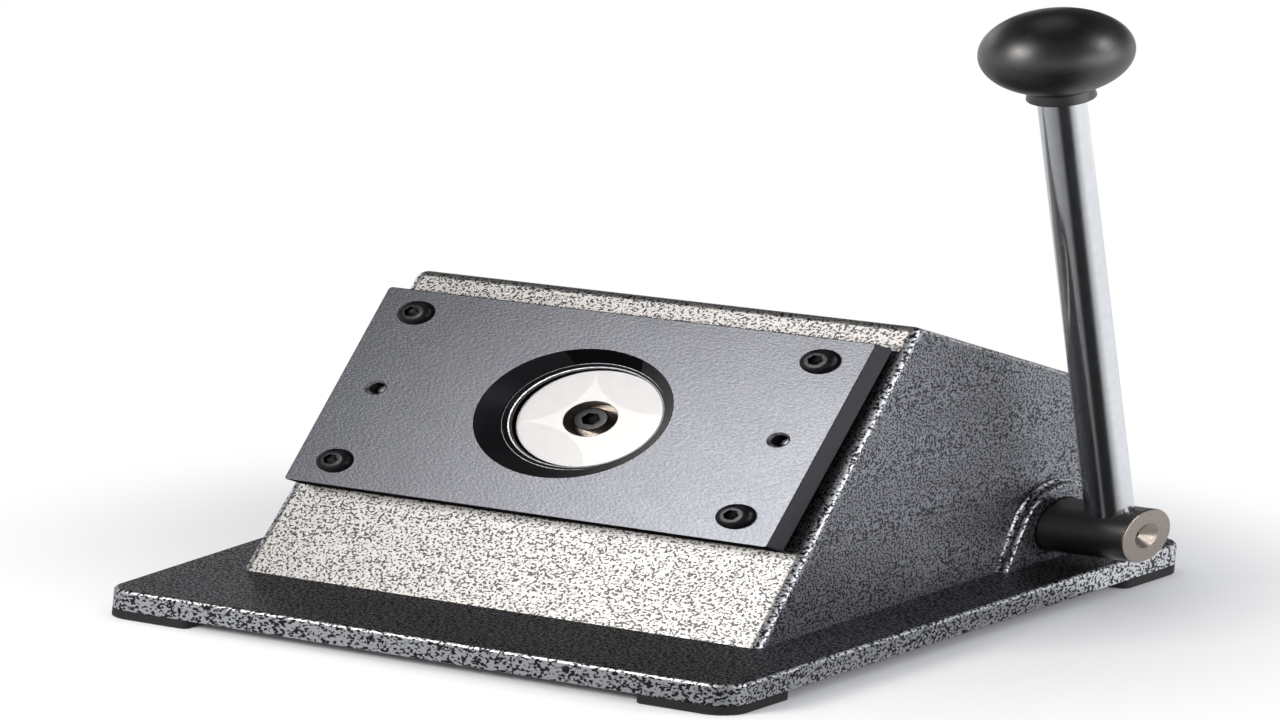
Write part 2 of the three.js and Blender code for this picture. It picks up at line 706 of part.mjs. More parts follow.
// The pieces that lie on the sloping face, in the frame of the face
function makePlates() {
  const guideWidth = plateWidth - 2 * guideInset;
  const guideLength = plateLength - 2 * guideInset;
  const guideBlank = slab(guideWidth, guideLength, plateCornerRadius, seatGap, guideTop);
  const guideCuts = [
    block([-channelWidth / 2, -guideLength, channelTop], [channelWidth / 2, guideLength, guideTop + overrun]),
    bar(punchRadius + runGap, -overrun, guideTop + overrun, roundSides),
  ];
  const dieBlank = slab(plateWidth, plateLength, plateCornerRadius, dieBottom, dieTop, plateEdgeRadius);
  const throatHeight = dieBottom + dieRingHeight + seatGap;
  const mouthSlope = (dieMouthRadius - dieThroatRadius) / (dieTop - throatHeight);
  const dieCuts = [
    bar(dieThroatRadius, throatHeight, dieTop, roundSides, dieMouthRadius),
    bar(dieMouthRadius, dieTop, dieTop + overrun, roundSides, dieMouthRadius + overrun * mouthSlope),
    bar(dieRingRadius + seatGap, dieBottom - overrun, throatHeight, roundSides),
  ];
  for (const [x, u] of plateScrewSpots) {
    const hole = bar(plateScrewRadius + seatGap, -overrun, dieTop + overrun);
    hole.translate(x, u - plateCentreU, 0);
    guideCuts.push(hole);
    dieCuts.push(hole);
  }
  for (const [x, u] of dowelSpots) {
    const rim = dowelRadius + seatGap;
    const hole = bar(rim, -overrun, dieTop + overrun).translate(x, u - plateCentreU, 0);
    const mouth = rim + 2 * dowelChamfer;
    const chamfer = bar(rim, dieTop - dowelChamfer, dieTop + dowelChamfer, smallSides, mouth);
    guideCuts.push(hole);
    dieCuts.push(hole, chamfer.translate(x, u - plateCentreU, 0));
  }
  const centre = [0, plateCentreU, 0];
  place(faceGroup, 'guide_plate', shaped([guideBlank], guideCuts), blackOxide(), centre);
  place(faceGroup, 'die_plate', shaped([dieBlank], dieCuts), gunmetal(), centre);
  const ring = turnedRing([
    [punchRadius + runGap, dieBottom],
    [dieRingRadius, dieBottom],
    [dieRingRadius, dieBottom + dieRingHeight],
    [punchRadius + runGap, dieBottom + dieRingHeight],
  ]);
  place(faceGroup, 'die_ring', ring, brightSteel(), centre);
}

function makePlateFasteners() {
  const spotNames = ['top_right', 'top_left', 'bottom_left', 'bottom_right'];
  const seat = dieTop + seatGap;
  const length = seat + plateScrewBite;
  plateScrewSpots.forEach(([x, u], index) => {
    const screw = socketScrew(
      buttonHead(),
      plateScrewRadius,
      length,
      plateSocketSize,
      plateSocketDepth,
      buttonHeight,
      screwSides,
    );
    place(faceGroup, `plate_screw_${spotNames[index]}`, screw, blackOxide(), [x, u, seat]);
  });
  ['right', 'left'].forEach((hand, index) => {
    const [x, u] = dowelSpots[index];
    const dowel = bar(dowelRadius, -dowelBite, dieTop - dowelDepth);
    place(faceGroup, `dowel_${hand}`, dowel, plainSteel(), [x, u, 0]);
  });
}

function makeRamGuide() {
  const tubeTop = guideFlangeTop - guideFlangeThickness;
  const guide = turnedRing([
    [ramRadius + runGap, guideTubeBottom],
    [guideTubeRadius, guideTubeBottom],
    [guideTubeRadius, tubeTop],
    [guideFlangeRadius, tubeTop],
    [guideFlangeRadius, guideFlangeTop],
    [ramRadius + runGap, guideFlangeTop],
  ], hiddenSides);
  const holes = guideScrewSpots.map(([x, u]) => {
    const hole = bar(guideScrewRadius + seatGap, tubeTop - overrun, guideFlangeTop + overrun);
    return hole.translate(x, u - plateCentreU, 0);
  });
  place(faceGroup, 'ram_guide', shaped([guide], holes), bronze(), [0, plateCentreU, 0]);
  const head = cylinderHead(guideScrewHeadRadius, guideScrewHeadHeight, headChamfer);
  const seat = tubeTop - seatGap;
  const length = guideFlangeThickness + 2 * seatGap + guideScrewBite;
  guideScrewSpots.forEach(([x, u], index) => {
    const screw = socketScrew(
      head,
      guideScrewRadius,
      length,
      guideSocketSize,
      guideSocketDepth,
      guideScrewHeadHeight,
    );
    place(faceGroup, `guide_screw_${index + 1}`, screw.rotateX(Math.PI), blackOxide(), [x, u, seat]);
  });
}

// The ram and what it carries, in the frame of the face
function makeRam() {
  const centre = [0, plateCentreU, 0];
  const boreFloor = punchTop - counterboreDepth;
  const punch = turned([
    [0, punchBottom],
    [punchRadius, punchBottom],
    [punchRadius, punchTop - punchChamfer],
    [punchRadius - punchChamfer, punchTop],
    [0, punchTop],
  ]);
  const punchSolid = shaped([punch], [
    bar(counterboreRadius, boreFloor, punchTop + overrun, roundSides),
    bar(punchScrewRadius + seatGap, punchBottom - overrun, punchTop + overrun),
    bar(ramRadius + seatGap, punchBottom - overrun, punchBottom + ramHead, hiddenSides),
  ]);
  place(faceGroup, 'punch', punchSolid, brightSteel(), centre);
  const head = cylinderHead(punchHeadRadius, punchHeadHeight, headChamfer);
  const screw = socketScrew(
    head,
    punchScrewRadius,
    punchScrewLength,
    punchSocketSize,
    punchSocketDepth,
    punchHeadHeight,
    screwSides,
  );
  place(faceGroup, 'punch_screw', screw, brightSteel(), [0, plateCentreU, boreFloor + seatGap]);
  const ramTop = punchBottom + ramHead - seatGap;
  const spigotEnd = forkTop - ramSpigotLength;
  const spigotPinHole = bar(ramPinRadius + seatGap, -forkHeadRadius, forkHeadRadius).rotateY(Math.PI / 2);
  const pinHeight = forkTop - ramSpigotLength / 2;
  const ram = turned([
    [0, spigotEnd],
    [ramSpigotRadius, spigotEnd],
    [ramSpigotRadius, forkTop + seatGap],
    [ramRadius, forkTop + seatGap],
    [ramRadius, ramTop],
    [0, ramTop],
  ], hiddenSides);
  const screwTip = boreFloor + seatGap - punchScrewLength;
  const ramSolid = shaped([ram], [
    bar(punchScrewRadius + seatGap, screwTip - seatGap, ramTop + overrun),
    spigotPinHole.clone().translate(0, 0, pinHeight),
  ]);
  place(faceGroup, 'ram', ramSolid, plainSteel(), centre);
  const slotHalf = rollerSlotWidth / 2;
  const forkHalf = slotHalf + forkCheek;
  const forkLow = rollerN - forkBelowPin;
  const cheekTop = forkSlotTop + overrun;
  const cheeks = block([-forkHalf, -forkDepth / 2, forkLow], [forkHalf, forkDepth / 2, cheekTop]);
  const forkHead = bar(forkHeadRadius, forkSlotTop, forkTop, hiddenSides);
  const fork = shaped([cheeks, forkHead], [
    block([-slotHalf, -forkDepth, forkLow - overrun], [slotHalf, forkDepth, forkSlotTop]),
    bar(ramSpigotRadius + seatGap, forkTop - ramSpigotLength - seatGap, forkTop + overrun),
    spigotPinHole.clone().translate(0, 0, pinHeight),
    bar(rollerPinRadius + seatGap, -forkDepth, forkDepth).rotateY(Math.PI / 2).translate(0, 0, rollerN),
  ]);
  place(faceGroup, 'fork', fork, plainSteel(), centre);
  const pinReach = forkHeadRadius - bossBevel;
  const forkPin = bar(ramPinRadius, -pinReach, pinReach).rotateY(Math.PI / 2);
  place(faceGroup, 'fork_pin', forkPin, brightSteel(), [0, plateCentreU, pinHeight]);
  const rollerPin = bar(rollerPinRadius, -forkHalf, forkHalf).rotateY(Math.PI / 2);
  place(faceGroup, 'roller_pin', rollerPin, brightSteel(), [0, plateCentreU, rollerN]);
  const roller = turnedRing([
    [rollerPinRadius + runGap, -rollerWidth / 2],
    [rollerRadius, -rollerWidth / 2],
    [rollerRadius, rollerWidth / 2],
    [rollerPinRadius + runGap, rollerWidth / 2],
  ], hiddenSides).rotateY(Math.PI / 2);
  place(faceGroup, 'roller', roller, plainSteel(), [0, plateCentreU, rollerN]);
}

// One unbroken wire, wound at a steady rise from the top of the fork to the end of the guide
function makeSpring() {
  const low = forkTop + seatGap;
  const high = guideTubeBottom - seatGap;
  const rise = high - low - springWire;
  const count = springTurns * springSteps;
  const places = [];
  for (let step = 0; step <= count; step += 1) {
    const share = step / count;
    const angle = share * springTurns * 2 * Math.PI;
    const height = low + springWire / 2 + rise * share;
    places.push([springMeanRadius * Math.cos(angle), springMeanRadius * Math.sin(angle), height]);
  }
  const rings = places.map(([x, y, z], step) => {
    const angle = (step / springSteps) * 2 * Math.PI;
    const outward = new THREE.Vector3(Math.cos(angle), Math.sin(angle), 0);
    const upward = new THREE.Vector3(0, 0, 1);
    return Array.from({ length: springSides }, (_, side) => {
      const turn = ((side + wireTurnShare) / springSides) * 2 * Math.PI;
      return new THREE.Vector3(x, y, z)
        .addScaledVector(outward, (springWire / 2) * Math.cos(turn))
        .addScaledVector(upward, (springWire / 2) * Math.sin(turn));
    });
  });
  const vertices = rings.flat().flatMap((point) => point.toArray());
  const indices = [];
  for (let step = 0; step < count; step += 1) {
    for (let side = 0; side < springSides; side += 1) {
      const next = (side + 1) % springSides;
      const [a, b] = [step * springSides + side, step * springSides + next];
      const [c, d] = [a + springSides, b + springSides];
      indices.push(a, b, c, b, d, c);
    }
  }
  const last = count * springSides;
  for (let side = 1; side < springSides - 1; side += 1) {
    indices.push(0, side + 1, side, last, last + side, last + side + 1);
  }
  const geometry = new THREE.BufferGeometry();
  geometry.setAttribute('position', new THREE.Float32BufferAttribute(vertices, 3));
  geometry.setIndex(indices);
  place(faceGroup, 'return_spring', geometry, springSteel(), [0, plateCentreU, 0]);
  const pitchGap = rise / springTurns - springWire;
  console.log(`return spring: least gap between its turns ${pitchGap.toFixed(2)} mm`);
}

// The cam's outline about the shaft's axis, in the frame of the face. The roller's centre traces the pitch
// curve on the turning cam: it starts at (rollerOffset, rollerStart) and rises along n by camLead a radian.
function camOutline() {
  const pitch = (turn) => {
    const height = rollerStart + camLead * turn;
    const [c, s] = [Math.cos(turn), Math.sin(turn)];
    return [c * rollerOffset + s * height, -s * rollerOffset + c * height];
  };
  const points = [];
  const end = leverRange + camRunOut;
  const nudge = end / camSteps / camSteps;
  for (let step = 0; step <= camSteps; step += 1) {
    const turn = (step / camSteps) * end;
    const [x, y] = pitch(turn);
    const [ahead, behind] = [pitch(turn + nudge), pitch(turn - nudge)];
    const along = [ahead[0] - behind[0], ahead[1] - behind[1]];
    const size = Math.hypot(...along);
    const inward = rollerRadius + seatGap;
    points.push([x + (along[1] / size) * inward, y - (along[0] / size) * inward]);
  }
  const first = Math.atan2(points[0][1], points[0][0]);
  const lobe = points[points.length - 1];
  const lobeRadius = Math.hypot(...lobe);
  const lobeAngle = Math.atan2(lobe[1], lobe[0]);
  const restAngle = lobeAngle - Math.acos(camBaseRadius / lobeRadius);
  const sweep = 2 * Math.PI - (first - restAngle);
  const arcSteps = hiddenSides / 2;
  for (let step = 0; step < arcSteps; step += 1) {
    const angle = restAngle - (step / arcSteps) * sweep;
    points.push([camBaseRadius * Math.cos(angle), camBaseRadius * Math.sin(angle)]);
  }
  return points;
}

const keyAngle = Math.atan2(rollerStart, rollerOffset) - keyAngleShare * leverRange;

// A block at the shaft's surface, along X, turned to the key's place
function keyBlock(side, length, fromX) {
  const blank = block(
    [shaftRadius - side / 2, -side / 2, fromX],
    [shaftRadius + side / 2, side / 2, fromX + length],
  );
  return blank.rotateZ(keyAngle);
}

function makeCam() {
  const shape = new THREE.Shape(camOutline().map(([x, y]) => new THREE.Vector2(x, y)));
  const disc = new THREE.ExtrudeGeometry(shape, { depth: camWidth, bevelEnabled: false });
  disc.translate(0, 0, -camWidth / 2);
  const hub = bar(camBaseRadius, 0, camWidth / 2 + camHubWidth, hiddenSides);
  const grubX = camWidth / 2 + camHubWidth / 2;
  const grubHole = bar(grubRadius + seatGap, 0, camBaseRadius + overrun).rotateY(Math.PI / 2);
  const cam = shaped([disc, hub], [
    bar(shaftRadius + seatGap, -camWidth, camWidth + camHubWidth, hiddenSides),
    keyBlock(keySide + 2 * seatGap, 2 * camWidth + camHubWidth, -camWidth),
    grubHole.rotateZ(keyAngle + Math.PI).translate(0, 0, grubX),
  ]);
  place(camGroup, 'cam', alongX(cam), plainSteel());
  place(camGroup, 'cam_key', alongX(keyBlock(keySide, camWidth, -camWidth / 2)), brightSteel());
  const grub = bar(grubRadius, shaftRadius + seatGap, camBaseRadius).rotateY(Math.PI / 2);
  grub.rotateZ(keyAngle + Math.PI).translate(0, 0, grubX);
  place(camGroup, 'cam_grub_screw', alongX(grub), blackOxide());
}

const tailEnd = -bossFaceX - shaftTailLength;
const washerX = -bossFaceX - seatGap - washerThickness;
const ringX = washerX - seatGap - ringWidth;

function makeShaft() {
  const blank = turned([
    [0, tailEnd],
    [shaftRadius - shaftChamfer, tailEnd],
    [shaftRadius, tailEnd + shaftChamfer],
    [shaftRadius, ringX - seatGap],
    [shaftRadius - ringGroove, ringX - seatGap],
    [shaftRadius - ringGroove, ringX + ringWidth + seatGap],
    [shaftRadius, ringX + ringWidth + seatGap],
    [shaftRadius, shaftRightEnd - shaftChamfer],
    [shaftRadius - shaftChamfer, shaftRightEnd],
    [0, shaftRightEnd],
  ]);
  const lean = leverLean + Math.PI / 2;
  const rodHole = bar(leverRadius + seatGap, -leverDepth - seatGap, 2 * shaftRadius, hiddenSides);
  const key = keyBlock(keySide + 2 * seatGap, camWidth + 2 * seatGap, -camWidth / 2 - seatGap);
  const shaft = shaped([blank], [
    bar(centrePilotRadius, shaftRightEnd - centreHoleDepth, shaftRightEnd, smallSides, centreHoleRadius),
    rodHole.rotateY(Math.PI / 2).rotateZ(lean).translate(0, 0, leverX),
    key.rotateZ(faceAngle),
  ]);
  place(shaftGroup, 'cross_shaft', alongX(shaft), brownSteel());
  const washer = turnedRing([
    [shaftRadius + runGap, washerX],
    [washerRadius, washerX],
    [washerRadius, washerX + washerThickness],
    [shaftRadius + runGap, washerX + washerThickness],
  ], hiddenSides);
  place(shaftGroup, 'thrust_washer', alongX(washer), zinc());
  const ring = turnedRing([
    [shaftRadius - ringGroove + seatGap, ringX],
    [ringRadius, ringX],
    [ringRadius, ringX + ringWidth],
    [shaftRadius - ringGroove + seatGap, ringX + ringWidth],
  ], hiddenSides);
  place(shaftGroup, 'retaining_ring', alongX(ring), springSteel());
  const collarX = bushStart - seatGap - collarWidth;
  const grubHole = bar(grubRadius + seatGap, 0, collarRadius + overrun).rotateY(Math.PI / 2);
  const collarTurn = Math.PI / 2;
  const collarBlank = turnedRing([
    [shaftRadius + seatGap, collarX],
    [collarRadius, collarX],
    [collarRadius, collarX + collarWidth],
    [shaftRadius + seatGap, collarX + collarWidth],
  ], hiddenSides);
  const collarMiddle = collarX + collarWidth / 2;
  const collar = shaped([collarBlank], [grubHole.rotateZ(collarTurn).translate(0, 0, collarMiddle)]);
  place(shaftGroup, 'shaft_collar', alongX(collar), zinc());
  const collarGrub = bar(grubRadius, shaftRadius + seatGap, collarRadius).rotateY(Math.PI / 2);
  const collarGrubPlace = collarGrub.rotateZ(collarTurn).translate(0, 0, collarMiddle);
  place(shaftGroup, 'collar_grub_screw', alongX(collarGrubPlace), blackOxide());
}

function makeBushes() {
  for (const [hand, sign] of [['right', 1], ['left', -1]]) {
    const [low, high] = [sign * (bushStart + seatGap), sign * bushEnd].sort((a, b) => a - b);
    const bush = turnedRing([
      [shaftRadius + runGap, low],
      [bushOuter, low],
      [bushOuter, high],
      [shaftRadius + runGap, high],
    ], hiddenSides);
    place(cutter, `shaft_bush_${hand}`, onShaft(bush), bronze());
  }
}

// The lever leans with its group, whose Z runs up the rod from the shaft's axis
function makeLever() {
  const neckEnd = leverLength - knobNeckReach;
  const rodTop = neckEnd - seatGap;
  const tipTop = rodTop + leverTipLength;
  const rod = turned([
    [0, -leverDepth],
    [leverRadius, -leverDepth],
    [leverRadius, rodTop - leverNeckChamfer],
    [leverRadius - leverNeckChamfer, rodTop],
    [leverTipRadius, rodTop],
    [leverTipRadius, tipTop],
    [0, tipTop],
  ], hiddenSides);
  place(leverGroup, 'lever_rod', rod, chrome());
  const boreTop = neckEnd + insertLength;
  const insertTop = boreTop - seatGap;
  const insert = turned([
    [leverTipRadius + seatGap, neckEnd],
    [insertRadius, neckEnd],
    [insertRadius, insertTop],
    [0, insertTop],
    [0, insertTop - insertFloor],
    [leverTipRadius + seatGap, insertTop - insertFloor],
    [leverTipRadius + seatGap, neckEnd],
  ], hiddenSides);
  place(leverGroup, 'knob_insert', insert, bronze());
  const neckAngle = Math.asin(knobNeckRadius / knobRadius);
  const section = [[0, neckEnd], [knobNeckRadius, neckEnd]];
  for (let step = 0; step <= knobSideSteps; step += 1) {
    const angle = neckAngle + (step / knobSideSteps) * (Math.PI - neckAngle);
    const radius = step === knobSideSteps ? 0 : knobRadius * Math.sin(angle);
    section.push([radius, leverLength - knobRadius * Math.cos(angle)]);
  }
  const insertHole = bar(insertRadius + seatGap, neckEnd - overrun, boreTop, hiddenSides);
  const knob = shaped([turned(section)], [insertHole]);
  place(leverGroup, 'knob', knob, phenolic());
}

makeBase();
makeCover();
makeBody();
makeBosses();
makeBodyScrews();
makeFeet();
makePlates();
makePlateFasteners();
makeRamGuide();
makeRam();
makeSpring();
makeCam();
makeShaft();
makeBushes();
makeLever();

export default cutter;
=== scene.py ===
import json
import math

import bmesh
import bpy
import numpy as np
from mathutils import Matrix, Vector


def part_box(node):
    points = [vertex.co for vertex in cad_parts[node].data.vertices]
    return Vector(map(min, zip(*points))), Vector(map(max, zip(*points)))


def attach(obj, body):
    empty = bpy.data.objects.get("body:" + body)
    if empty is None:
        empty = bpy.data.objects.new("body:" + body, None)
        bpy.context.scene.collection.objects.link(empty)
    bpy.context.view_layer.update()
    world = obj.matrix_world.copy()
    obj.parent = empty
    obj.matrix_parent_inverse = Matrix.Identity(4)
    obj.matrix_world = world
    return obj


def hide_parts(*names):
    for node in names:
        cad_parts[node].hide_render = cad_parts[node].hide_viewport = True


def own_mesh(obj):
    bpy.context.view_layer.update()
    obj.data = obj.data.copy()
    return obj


# A bench cutter for round paper blanks, dressed for its portrait.
# Lengths are in millimetres and become metres as they go into a mesh. +Z is up and the operator stands at -Y.
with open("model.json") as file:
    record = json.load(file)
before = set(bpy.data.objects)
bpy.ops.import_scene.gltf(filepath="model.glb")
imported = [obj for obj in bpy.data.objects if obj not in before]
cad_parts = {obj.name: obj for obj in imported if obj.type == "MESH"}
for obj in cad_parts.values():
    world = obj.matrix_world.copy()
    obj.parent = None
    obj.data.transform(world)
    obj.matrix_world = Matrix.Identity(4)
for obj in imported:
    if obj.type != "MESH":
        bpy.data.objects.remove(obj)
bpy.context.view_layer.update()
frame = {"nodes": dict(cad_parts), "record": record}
metre = 1000.0
# The radius at the ends of a turned profile, small enough to merge to a pole
pole = 0.001


def nodeBox(node):
    # lowest and highest corner of a node, in millimetres
    low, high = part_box(node)
    return np.array(low) * metre, np.array(high) * metre


def middleOf(node):
    low, high = nodeBox(node)
    return (low + high) / 2


# Places read from the frame
baseLow, baseHigh = nodeBox("base_plate")
shaftLow, shaftHigh = nodeBox("cross_shaft")
ringMiddle = middleOf("die_ring")
shaftAxis = middleOf("cross_shaft")
leverX = middleOf("lever_rod")[0]
floorHeight = nodeBox("foot_front_right")[0][2]

casting = {
    "faceAngle": math.radians(60), "backAngle": math.radians(30), "faceLength": 139.997, "footWidth": 158,
    "ridgeWidth": 151, "edgeRadius": 3, "frontWall": 9, "wall": 6, "heel": 94.5, "sunk": 6, "punchHole": 22.5,
    "bossRadius": 17.5, "bossFootHalf": 24, "bossDepth": 3, "bossEdge": 1.2, "bossFillet": 1.6, "bossSunk": 0.05,
    "shaftHole": 11.8,
}
faceCos, faceSin = math.cos(casting["faceAngle"]), math.sin(casting["faceAngle"])
upSlope, outOfFace = np.array([0, faceCos, faceSin]), np.array([0, -faceSin, faceCos])
# The sides lean in from foot to ridge, by this share of the height
sideLean = (casting["footWidth"] - casting["ridgeWidth"]) / 2 / (casting["faceLength"] * faceSin)
toeY = nodeBox("body_shell")[0][1]
baseTop = baseHigh[2]


def onFace(points):
    # x, u up the slope and n outwards, to the part's frame
    x, u, n = points[..., 0], points[..., 1], points[..., 2]
    return np.stack([x, toeY + u * faceCos - n * faceSin, baseTop + u * faceSin + n * faceCos], -1)


def onShaft(points):
    # a piece made along z, laid along x on the shaft's axis
    return np.stack([points[..., 2], shaftAxis[1] + points[..., 0], shaftAxis[2] + points[..., 1]], -1)


leverLean = math.radians(12)


def onLever(points):
    # a piece made along z from the shaft's axis, leaning forward with the lever
    x, y, z = points[..., 0], points[..., 1], points[..., 2]
    c, s = math.cos(leverLean), math.sin(leverLean)
    return np.stack([leverX + x, shaftAxis[1] + y * c - z * s, shaftAxis[2] + y * s + z * c], -1)


plateU = (ringMiddle[1] - toeY) * faceCos + (ringMiddle[2] - baseTop) * faceSin


def moved(place, x=0.0, y=0.0, z=0.0):
    # the same place, with the piece first moved in its own frame
    return lambda points: place(points + np.array([x, y, z]))


def flipped(place):
    # the same place, with the piece first turned upside down about its x axis
    return lambda points: place(points * np.array([1.0, -1.0, -1.0]))


def asMade(points):
    return points


# The middle of the plates, on the casting's face
onPlate = moved(onFace, 0, plateU, 0)
plateCentre = onPlate(np.zeros(3))


def fromPlate(points):
    # x, u and n of places, from the middle of the plates
    away = points - plateCentre
    return away[:, 0], away @ upSlope, away @ outOfFace


# Surfaces: each is a grid of points, rows along the section and columns round the outline
def rounded(corners, radius, steps=6, loop=False):
    # A polyline whose corners become arcs: an arc of the radius touches both sides of its corner, and its points
    # turn evenly from one touching point to the other. A radius of 0 keeps the corner.
    corners = np.asarray(corners, float)
    radii = np.broadcast_to(np.asarray(radius, float), len(corners))
    out = []
    for i, corner in enumerate(corners):
        atEnd = not loop and i in (0, len(corners) - 1)
        if atEnd or radii[i] <= 0:
            out.append(corner[None])
            continue
        before = corners[i - 1] - corner
        after = corners[(i + 1) % len(corners)] - corner
        before, after = before / np.linalg.norm(before), after / np.linalg.norm(after)
        half = math.acos(np.clip(before @ after, -1, 1)) / 2
        bisector = (before + after) / np.linalg.norm(before + after)
        centre = corner + bisector * radii[i] / math.sin(half)
        first = corner + before * radii[i] / math.tan(half) - centre
        last = corner + after * radii[i] / math.tan(half) - centre
        sweep = math.pi - 2 * half
        share = np.linspace(0, 1, steps + 1)[:, None]
        out.append(centre + (np.sin((1 - share) * sweep) * first + np.sin(share * sweep) * last) / math.sin(sweep))
    return np.concatenate(out)


def turned(profile, sides):
    # A profile of radius and height, turned round z: x = r cos a, y = r sin a, z = h
    angle = np.arange(sides) * 2 * np.pi / sides
    radius, height = profile[:, :1], profile[:, 1:]
    return np.stack([radius * np.cos(angle), radius * np.sin(angle), height + 0 * angle], -1)


def slab(width, depth, radius, section, steps=10):
    # A plate's rim: the section's inset and height carried round a rectangle with round corners. Each corner is a
    # quarter circle of radius less inset about a fixed centre, and the four radii may differ.
    quarter = np.arange(4)[:, None]
    radius = np.repeat(np.broadcast_to(radius, 4), steps + 1)
    angle = ((quarter + np.linspace(0, 1, steps + 1)) * np.pi / 2).ravel()
    signX = np.repeat([1, -1, -1, 1], steps + 1)
    signY = np.repeat([1, 1, -1, -1], steps + 1)
    reach = radius - section[:, :1]
    x = signX * (width / 2 - radius) + reach * np.cos(angle)
    y = signY * (depth / 2 - radius) + reach * np.sin(angle)
    return np.stack([x, y, section[:, 1:] + 0 * x], -1)


def meshOf(name, points, place, capped):
    # Quads between neighbouring rows, closed round the columns, with the first and last row filled. Doubles are
    # merged and the faces made to point outwards.
    rows, columns = points.shape[:2]
    row, column = np.meshgrid(np.arange(rows - 1), np.arange(columns), indexing="ij")
    after = (column + 1) % columns
    here, above = row * columns, (row + 1) * columns
    quads = np.stack([here + column, here + after, above + after, above + column], -1)
    faces = quads.reshape(-1, 4).tolist()
    if capped:
        faces.append(list(range(columns))[::-1])
        faces.append(list(range((rows - 1) * columns, rows * columns)))
    mesh = bpy.data.meshes.new(name)
    mesh.from_pydata((place(points) / metre).reshape(-1, 3), [], faces)
    work, apart = bmesh.new(), 1e-7
    work.from_mesh(mesh)
    bmesh.ops.remove_doubles(work, verts=work.verts, dist=apart)
    bmesh.ops.dissolve_degenerate(work, edges=work.edges, dist=apart)
    bmesh.ops.recalc_face_normals(work, faces=work.faces)
    work.to_mesh(mesh)
    work.free()
    return mesh


def objectOf(name, mesh):
    piece = bpy.data.objects.new(name, mesh)
    bpy.context.scene.collection.objects.link(piece)
    return piece


def pieceOf(name, points, place=asMade, capped=True):
    return objectOf(name, meshOf(name, points, place, capped))


def carve(piece, cutters, operation="DIFFERENCE"):
    # Cuts the cutters out of the piece, or joins them to it
    for cutter in cutters:
        step = piece.modifiers.new("carve", "BOOLEAN")
        step.operation, step.solver, step.object = operation, "EXACT", cutter
    bpy.context.view_layer.update()
    result = bpy.data.meshes.new_from_object(piece.evaluated_get(bpy.context.evaluated_depsgraph_get()))
    piece.modifiers.clear()
    piece.data = result
    for cutter in cutters:
        bpy.data.objects.remove(cutter)
    return piece


def cutterOf(points, place=asMade):
    return pieceOf("cutter", points, place)


def drill(radius, low, high, place, sides=48):
    # A round cutter along z between two heights
    return cutterOf(turned(np.array([[radius, low], [radius, high]], float), sides), place)


def smoothed(piece, sharpAngle=math.radians(34)):
    # Smooth shading that breaks at sharp edges, with flat faces kept flat
    piece.data.shade_smooth()
    piece.data.set_sharp_from_angle(angle=sharpAngle)
    even = piece.modifiers.new("evenNormals", "WEIGHTED_NORMAL")
    even.keep_sharp = True
    return piece


def facesOf(piece):
    # the normals of a piece's faces, and their middles in millimetres
    faces = piece.data.polygons
    normals, middles = np.zeros(3 * len(faces)), np.zeros(3 * len(faces))
    faces.foreach_get("normal", normals)
    faces.foreach_get("center", middles)
    return normals.reshape(-1, 3), middles.reshape(-1, 3) * metre


def dress(piece, body, slot, *nodes, coats=None):
    # Gives a piece its finish, which is its slot's unless others are named, and its place in the table
    for material in coats or [finishes[slot]]:
        piece.data.materials.append(material)
    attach(piece, body)
    if nodes:
        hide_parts(*nodes)
    return piece


# Materials
def shade(code):
    # An sRGB hex colour as the linear values that a shader takes
    levels = [int(code[i:i + 2], 16) / 255 for i in (1, 3, 5)]
    return tuple(v / 12.92 if v <= 0.04045 else ((v + 0.055) / 1.055) ** 2.4 for v in levels) + (1.0,)


def addNode(tree, kind, inputs=None, **settings):
    # Adds a node: settings are its own properties, and inputs are sockets by name or number,
    # each with a value or with the output that feeds it
    node = tree.nodes.new(kind)
    for key, value in settings.items():
        setattr(node, key, value)
    for key, value in (inputs or {}).items():
        if isinstance(value, bpy.types.NodeSocket):
            tree.links.new(value, node.inputs[key])
        else:
            node.inputs[key].default_value = value
    return node


def newMaterial(name):
    material = bpy.data.materials.new(name)
    material.use_nodes = True
    tree = material.node_tree
    tree.nodes.clear()
    place = addNode(tree, "ShaderNodeTexCoord").outputs["Object"]
    return material, tree, place


def closeMaterial(material, inputs):
    shader = addNode(material.node_tree, "ShaderNodeBsdfPrincipled", inputs)
    addNode(material.node_tree, "ShaderNodeOutputMaterial", {"Surface": shader.outputs["BSDF"]})
    return material


def noise(tree, place, size, detail, roughness=0.5):
    # Noise whose blobs are about as wide as the size, in millimetres
    return addNode(tree, "ShaderNodeTexNoise", {
        "Vector": place, "Scale": metre / (2 * size), "Detail": detail, "Roughness": roughness,
    }).outputs["Fac"]


def mapped(tree, vector, kind="POINT", **parts):
    return addNode(tree, "ShaderNodeMapping", {"Vector": vector, **parts}, vector_type=kind).outputs["Vector"]


def compute(tree, operation, *values):
    return addNode(tree, "ShaderNodeMath", dict(enumerate(values)), operation=operation).outputs[0]


def computeVector(tree, operation, output, *values):
    return addNode(tree, "ShaderNodeVectorMath", dict(enumerate(values)), operation=operation).outputs[output]


def ramp(tree, value, low, high, lowTo=0.0, highTo=1.0):
    return addNode(tree, "ShaderNodeMapRange", {
        "Value": value, "From Min": low, "From Max": high, "To Min": lowTo, "To Max": highTo,
    }, interpolation_type="SMOOTHSTEP").outputs["Result"]


def blend(tree, share, one, other):
    # A colour between two, by share. The node's colour sockets go by number, since their names repeat.
    return addNode(tree, "ShaderNodeMix", {"Factor": share, 6: one, 7: other}, data_type="RGBA").outputs[2]


def bump(tree, height, depth, strength, normal=None):
    # Relief of the given depth in millimetres
    inputs = {"Height": height, "Distance": depth / metre, "Strength": strength}
    if normal is not None:
        inputs["Normal"] = normal
    return addNode(tree, "ShaderNodeBump", inputs).outputs["Normal"]


